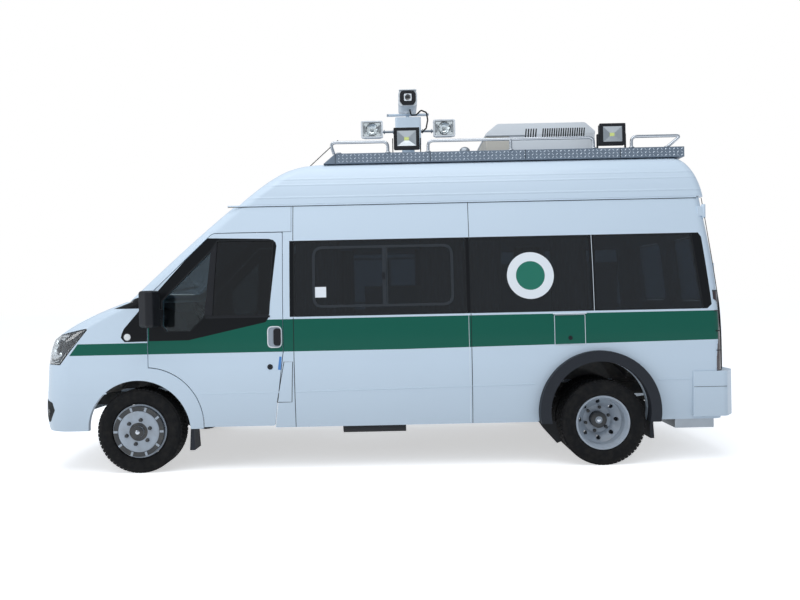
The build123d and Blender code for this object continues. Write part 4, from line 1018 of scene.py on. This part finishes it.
cases, chromes, rears = Pile(), Pile(), Pile()
for dx in (-342, 342):
    x, z = 270 + dx, 2974
    half_w, half_h = 104, 80
    outer = rounded([(x - half_w, z - half_h), (x - half_w, z + half_h), (x + half_w, z + half_h), (x + half_w, z - half_h)], 18)
    hole = rounded([(x - 90, z - 67), (x - 90, z + 67), (x + 90, z + 67), (x + 90, z - 67)], 10)
    cases.plate(outer, 34, lambda u, v, up: (u, -26 - up, v), [hole])
    back = [(x - 88, z - 70), (x - 88, z + 70), (x + 88, z + 70), (x + 88, z - 70)]
    cases.plate(rounded(back, 18), 64, lambda u, v, up: (u, 38 - up, v))
    # reflector: a round dish in the middle with faceted wings
    chromes.ring((x, -28, z), (0, -1, 0), [(14, 1), (34, 6), (52, 18), (56, 30), (58, 30), (56, 16), (36, 3), (14, -1)], 24)
    for sx in (-1, 1):
        for sz in (-1, 1):
            for k in range(3):
                u0, u1 = x + sx * (26 + k * 18), x + sx * (44 + k * 18)
                v0, v1 = z + sz * (8 + 16 * k), z + sz * 62
                chromes.add(
                    [(u0, -36 - 5 * (k % 2), v0), (u1, -52, v0), (u1, -36 - 5 * (k % 2), v1), (u0, -52, v1)],
                    [(0, 1, 2, 3)])
    rears.turned((x, -34, z), (0, -1, 0), [(11, 0), (11, 14), (6, 18), (0, 19)], 16)
lamp_cases = cases.put("tower_lamp_cases", white_moulding, "tower_lamps", bevel=4)
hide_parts("tower_lamps")
chromes.put("tower_lamp_reflectors", chrome_reflector, "tower_lamps", smooth=5)
rears.put("tower_lamp_bulbs", amber_lens, "tower_lamps", smooth=50)
glass = Pile()
for dx in (-342, 342):
    glass.plate(oblong(270 + dx - 90, 270 + dx + 90, 2908, 3040, 10), 3, lambda u, v, up: (u, -55 - up, v))
glass.put("tower_lamp_glass", clear_lens, "tower_lamps", smooth=20)
shaft = Pile()
for sx in (-1, 1):
    shaft.rod((270 + sx * 124, 20, 2965), (270 + sx * 260, 20, 2965), 11)
for dx in (-226, -140, 140, 226):
    shaft.rod((270 + dx - 5, 20, 2965), (270 + dx + 5, 20, 2965), 20)
shaft.put("tower_lamp_shaft", galvanised, "tower_lamps", bevel=1)

# camera: black front with a white bezel and a dark lens
CAMERA_FRONT = -181
face = [(197, 3262), (212, 3290), (330, 3290), (345, 3262), (345, 3196), (322, 3160), (222, 3160), (197, 3196)]
Pile().plate(rounded(face, 14), 8, lambda u, v, up: (u, CAMERA_FRONT - up, v)).put("camera_face", black_moulding, "tower_head", bevel=2)
Pile().plate(oblong(236, 306, 3196, 3262, 12), 6, lambda u, v, up: (u, CAMERA_FRONT - 8 - up, v), [circle(271, 3229, 27)]).put("camera_bezel", white_moulding, "tower_head", bevel=1.5)
Pile().turned((271, CAMERA_FRONT - 6, 3229), (0, -1, 0), [(27, 0), (27, 5), (24, 7), (18, 3), (10, 2), (0, 3)], 32).put("camera_lens", black_gloss, "tower_head", smooth=50)
Pile().plate([(190, 3302), (352, 3302), (352, 3296), (190, 3296)], 336, lambda u, v, up: (u, up - 196, v)).put("camera_sunshield", white_moulding, "tower_head", bevel=2)
bolts = Pile()
for dx in (-190, 190):
    bolts.turned((270 + dx, -26, 3116), (0, -1, 0), [(7, 0), (7, 6), (0, 7)], 6)
bolts.put("tower_bar_bolts", galvanised, "tower_head")
vents = Pile()
for k in range(6):
    vents.box((210 + k * 22, -131.5, 2842), (216 + k * 22, -129, 2872))
vents.put("tower_head_vents", seam_rubber_and_shade, "tower_head")

# ---------------------------------------------------------------- wheels
def wheel(side, front):
    """Nuts, hub, slots and rim edge on one wheel, as seen from outside."""
    hand = HANDS[side]
    body = f"front_{hand}_wheel" if front else f"rear_{hand}_wheels"
    x = FRONT_AXLE_X if front else REAR_AXLE_X
    face = 975 if front else 818
    hub = 44 if front else 62
    out = Vector((0, side, 0))
    name = f"{'front' if front else 'rear'}_{hand}"
    nuts, slots, disc = Pile(), Pile(), Pile()
    for k in range(6):
        angle = math.pi / 3 * k + 0.3
        centre = (x + 99 * math.cos(angle), side * face, TYRE_R + 99 * math.sin(angle))
        nuts.turned(centre, out, [(17, 0), (17, 6), (14, 7), (14, 22), (10, 25), (0, 26)], 6)
    nuts.put(f"{name}_wheel_nuts", dark_steel_and_shade, body, smooth=20)
    for k in range(10 if front else 8):
        angle = 2 * math.pi * k / (10 if front else 8)
        r0, r1, half = (170, 203, 0.05) if front else (150, 150, 0)
        if front:
            corners = []
            for r, t in ((r0, -half), (r0, half), (r1, half * 0.9), (r1, -half * 0.9)):
                corners.append((x + r * math.cos(angle + t), side * (face - 5), TYRE_R + r * math.sin(angle + t)))
            slots.add([*corners, *[Vector(c) + out * 7.5 for c in corners]], [(0, 1, 2, 3), (7, 6, 5, 4), (0, 4, 5, 1), (1, 5, 6, 2), (2, 6, 7, 3), (3, 7, 4, 0)])
    if front:
        slots.put(f"{name}_wheel_ribs", wheel_enamel, body, smooth=10)
    disc.ring((x, side * face, TYRE_R), (0, side, 0), [(hub + 4, 0), (hub + 30, 0), (hub + 30, 2), (hub + 26, 5), (hub + 4, 5)], 48)
    disc.put(f"{name}_hub_ring", dark_steel_and_shade, body, smooth=40)
    if front:
        Pile().turned((x, side * (face + 14), TYRE_R), out, [(46, 0), (46, 4), (40, 7), (0, 7)], 40).put(f"{name}_hub_cover", dark_steel_and_shade, body, smooth=40)
        # pressed centre disc over a dark ring, which is painted shade standing in for the shadow band between rim and
        # disc, and the brake disc behind the hand holes
        Pile().ring((x, side * face, TYRE_R), out, [(74, 0), (74, 3), (120, 5), (158, 3), (166, -1), (158, -1)], 64).put(
            f"{name}_centre_disc", wheel_enamel, body, smooth=60)
        Pile().ring((x, side * face, TYRE_R), out, [(168, -8), (168, 0.8), (204, 0.8), (204, -8)], 64).put(
            f"{name}_shade_ring", dark_steel_and_shade, body, smooth=30)
        Pile().ring((x, side * (face - 70), TYRE_R), out, [(60, 0), (60, 8), (190, 8), (190, 0)], 48).put(
            f"{name}_brake_disc", cast_metal, body, smooth=30)
    else:
        Pile().ring((x, side * face, TYRE_R), out, [(59, 0), (66, 2), (66, 66), (60, 70), (30, 71), (30, 68.5), (59, 68.5)], 40).put(
            f"{name}_hub_barrel", dark_steel_and_shade, body, smooth=40)
        Pile().ring((x, side * face, TYRE_R), out, [(174, -2), (174, 4), (182, 4), (188, -2)], 64).put(f"{name}_dish_ring", dark_steel_and_shade, body, smooth=40)
    cap = Pile().turned((x, side * (face + (21 if front else 69)), TYRE_R), (0, side, 0), [(17, 0), (17, 5), (12, 8), (0, 9)], 24)
    cap.put(f"{name}_hub_cap", polished_tube, body, smooth=50)
    Pile().tube([(x + 196, side * (face - 60), TYRE_R + 20), (x + 190, side * (face - 20), TYRE_R + 20), (x + 186, side * (face - 6), TYRE_R + 19)], 5, 8).put(
        f"{name}_valve", black_moulding, body)
    # tyre: a carcass with its tread base set down, and blocks standing on it
    carcass = [
        (221, -70), (226, -84), (246, -91), (290, -93), (318, -88), (331, -81), (334, -72),
        (334, 72), (331, 81), (318, 88), (290, 93), (246, 91), (226, 84), (221, 70)]
    for number, y in enumerate([870] if front else [923, 713]):
        tyre = Pile().ring((x, side * y, TYRE_R), out, carcass, 96).put(f"{name}_tyre_carcass_{number + 1}", tyre_rubber, body, smooth=50)
        if number == 0:
            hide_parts(f"front_{hand}_tyre" if front else f"rear_{hand}_tyres")
        blocks = Pile()
        for row, (y0, y1) in enumerate(((-80, -47), (-38, -5), (5, 38), (47, 80))):
            for k in range(64):
                a0, a1 = 2 * math.pi * (k + 0.5 * (row % 2)) / 64, 2 * math.pi * (k + 0.82 + 0.5 * (row % 2)) / 64
                low_r, high_r = TYRE_R - 10, TYRE_R - 0.1
                verts = []
                for r in (low_r, high_r):
                    for a, yy in ((a0, y0), (a1, y0), (a1, y1), (a0, y1)):
                        verts.append((x + r * math.cos(a), side * (y + yy), TYRE_R + r * math.sin(a)))
                blocks.add(verts, [(4, 5, 6, 7), (0, 1, 5, 4), (1, 2, 6, 5), (2, 3, 7, 6), (3, 0, 4, 7)])
        blocks.put(f"{name}_tread_{number + 1}", tyre_rubber, body, smooth=10)
    beads = Pile()
    for y in ([870] if front else [923]):
        for r in (262, 300, 318):
            beads.ring((x, side * (y + (91.2 if r < 310 else 84)), TYRE_R), (0, side, 0), [(r - 3, -4), (r + 3, -4), (r + 2, 1.2), (r - 2, 1.2)], 64)
    beads.put(f"{name}_sidewall_rings", tyre_rubber, body, smooth=40)


for side in HANDS:
    wheel(side, True)
    wheel(side, False)

# ---------------------------------------------------------------- cab and cabin
def cushion(name, low, high, lean=0.0, about=None):
    """A sewn seat pad: a crowned, rounded body with piped seams, leaning by an angle."""
    low, high = Vector(low), Vector(high)
    bm = bmesh.new()
    bmesh.ops.create_cube(bm, size=1.0)
    bmesh.ops.subdivide_edges(bm, edges=bm.edges[:], cuts=5, use_grid_fill=True)
    centre, span = (low + high) / 2, high - low
    for v in bm.verts:
        p = v.co * 2
        # corners pull in, the middle stands proud
        pull = 1 - 0.07 * (p.x**2 * p.y**2 + p.y**2 * p.z**2 + p.x**2 * p.z**2)
        crown = [1 + 0.0, 1.0, 1.0]
        v.co = Vector((p.x * span.x / 2 * pull, p.y * span.y / 2 * pull, p.z * span.z / 2 * pull))
        thin = min(range(3), key=lambda i: span[i])
        others = [i for i in range(3) if i != thin]
        v.co[thin] *= 0.86 + 0.14 * (1 - p[others[0]] ** 2) * (1 - p[others[1]] ** 2) * 1.0
        # sewn channels across the pad
        v.co[thin] *= 1 - 0.05 * (1 if abs(abs(p[others[1]]) - 0.33) < 0.08 else 0)
    bmesh.ops.transform(bm, matrix=Matrix.Translation(centre) @ Matrix.Rotation(lean, 4, "Y"), verts=bm.verts)
    mesh = bpy.data.meshes.new(name)
    bmesh.ops.scale(bm, vec=(MM, MM, MM), verts=bm.verts)
    bm.to_mesh(mesh)
    bm.free()
    mesh.materials.append(seat_cloth)
    mesh.shade_smooth()
    thing = bpy.data.objects.new(name, mesh)
    bpy.context.collection.objects.link(thing)
    soft = thing.modifiers.new("soft", "SUBSURF")
    soft.levels = soft.render_levels = 2
    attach(thing, "body")
    return thing


seat_base = Pile()
first = True
for name, y0, y1 in (("driver", -725, -255), ("passenger", 255, 725), ("middle", -150, 235)):
    pad = cushion(f"{name}_seat_cushion", (-1490, y0, 890), (-930, y1, 1035))
    if first:
        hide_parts("cab_seats")
        first = False
    cushion(f"{name}_seat_back", (-990, y0 + 8, 1010), (-868, y1 - 8, 1590), 0.115)
    seat_base.box((-1440, y0 + 20, 702), (-930, y1 - 20, 892))
    if name != "middle":
        cushion(f"{name}_headrest", (-900, (y0 + y1) / 2 - 120, 1590), (-815, (y0 + y1) / 2 + 120, 1720), 0.115)
        for dy in (-50, 50):
            seat_base.rod((-880, (y0 + y1) / 2 + dy, 1540), (-862, (y0 + y1) / 2 + dy, 1640), 6)
seat_base.put("cab_seat_bases", dash_moulding, bevel=8)

# gathered curtains on their rails
first = True
for number, (x0, x1) in enumerate(((-690, -330), (330, 690), (740, 1000), (1400, 1700))):
    for side, hand in HANDS.items():
        z0, z1, count = 1215, 1890, 96
        verts, faces = [], []
        for row in range(13):
            z = z0 + (z1 - z0) * row / 12
            fall = 1 - 0.25 * row / 12
            for k in range(count + 1):
                share = k / count
                x = x0 + (x1 - x0) * share
                y = half_width(z) - 75 + 7.5 * fall * math.sin(2 * math.pi * share * (x1 - x0) / 42 + 0.3 * math.sin(row * 0.5))
                verts.append((x, side * y, z))
        for row in range(12):
            for k in range(count):
                a = row * (count + 1) + k
                faces.append((a, a + 1, a + count + 2, a + count + 1))
        drape = Pile().add(verts, faces).put(f"curtain_{number + 1}_{hand}", curtain_cloth, smooth=180)
        if first:
            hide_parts("curtains")
            first = False

# ---------------------------------------------------------------- floor, light and camera
floor_material, floor_tree, floor_shader = material("matt_white_floor", "#f4f5f6", 0.9)
bpy.ops.mesh.primitive_plane_add(size=120)
floor = bpy.context.object
floor.name = "studio_floor"
floor.data.materials.append(floor_material)
# seen by the camera, in gloss and through glass the floor is white; it still takes the van's shadow
rays = node(floor_tree, "ShaderNodeLightPath")
seen = maths(floor_tree, "MAXIMUM", rays.outputs["Is Camera Ray"], maths(
    floor_tree, "MAXIMUM", rays.outputs["Is Glossy Ray"], rays.outputs["Is Transmission Ray"]))
floor_tree.links.new(maths(floor_tree, "MULTIPLY", seen, 0.55), floor_shader.inputs["Emission Strength"])
floor_shader.inputs["Emission Color"].default_value = (1, 1, 1, 1)

world = bpy.data.worlds.new("soft_overcast")
bpy.context.scene.world = world
world.use_nodes = True
sky = world.node_tree.nodes["Background"]
rays = node(world.node_tree, "ShaderNodeLightPath")
seen = maths(world.node_tree, "MAXIMUM", rays.outputs["Is Camera Ray"], rays.outputs["Is Transmission Ray"])
strength = node(world.node_tree, "ShaderNodeMapRange", {"Value": seen, "To Min": 0.62, "To Max": 1.0})
world.node_tree.links.new(strength.outputs[0], sky.inputs["Strength"])
world.node_tree.links.new(
    mix(world.node_tree, seen, colour("#e4edf8"), (1.0, 1.0, 1.0, 1.0)), sky.inputs["Color"])


def panel_light(name, place_at, aim, size, power):
    """A soft rectangular studio light."""
    lamp = bpy.data.lights.new(name, "AREA")
    lamp.shape, lamp.size, lamp.size_y, lamp.energy = "RECTANGLE", size[0], size[1], power
    thing = bpy.data.objects.new(name, lamp)
    bpy.context.collection.objects.link(thing)
    thing.location = place_at
    thing.rotation_euler = (Vector(aim) - Vector(place_at)).to_track_quat("-Z", "Y").to_euler()


panel_light("roof_softbox", (-1.0, -3.0, 8.5), (0.2, 0.0, 1.6), (9.0, 6.0), 380)
panel_light("front_softbox", (-9.0, -6.0, 5.0), (-1.0, 0.0, 1.2), (4.0, 4.0), 160)

CAMERA_AT = Vector((0.160, -6.263, 1.410))
FOCAL_PX, WIDTH_PX = 655, 800
camera_data = bpy.data.cameras.new("photo_camera")
camera_data.sensor_width = 36.0
camera_data.lens = 36.0 * FOCAL_PX / WIDTH_PX
camera = bpy.data.objects.new("photo_camera", camera_data)
bpy.context.collection.objects.link(camera)
camera.location = CAMERA_AT
ROLL, PITCH, YAW = math.radians(1.20), math.radians(-0.505), 0.0
camera.rotation_euler = (
    Matrix.Rotation(-YAW, 4, "Z") @ Matrix.Rotation(math.pi / 2 + PITCH, 4, "X") @ Matrix.Rotation(-ROLL, 4, "Z")
).to_euler()
bpy.context.scene.camera = camera
bpy.context.scene.view_settings.view_transform = "Standard"
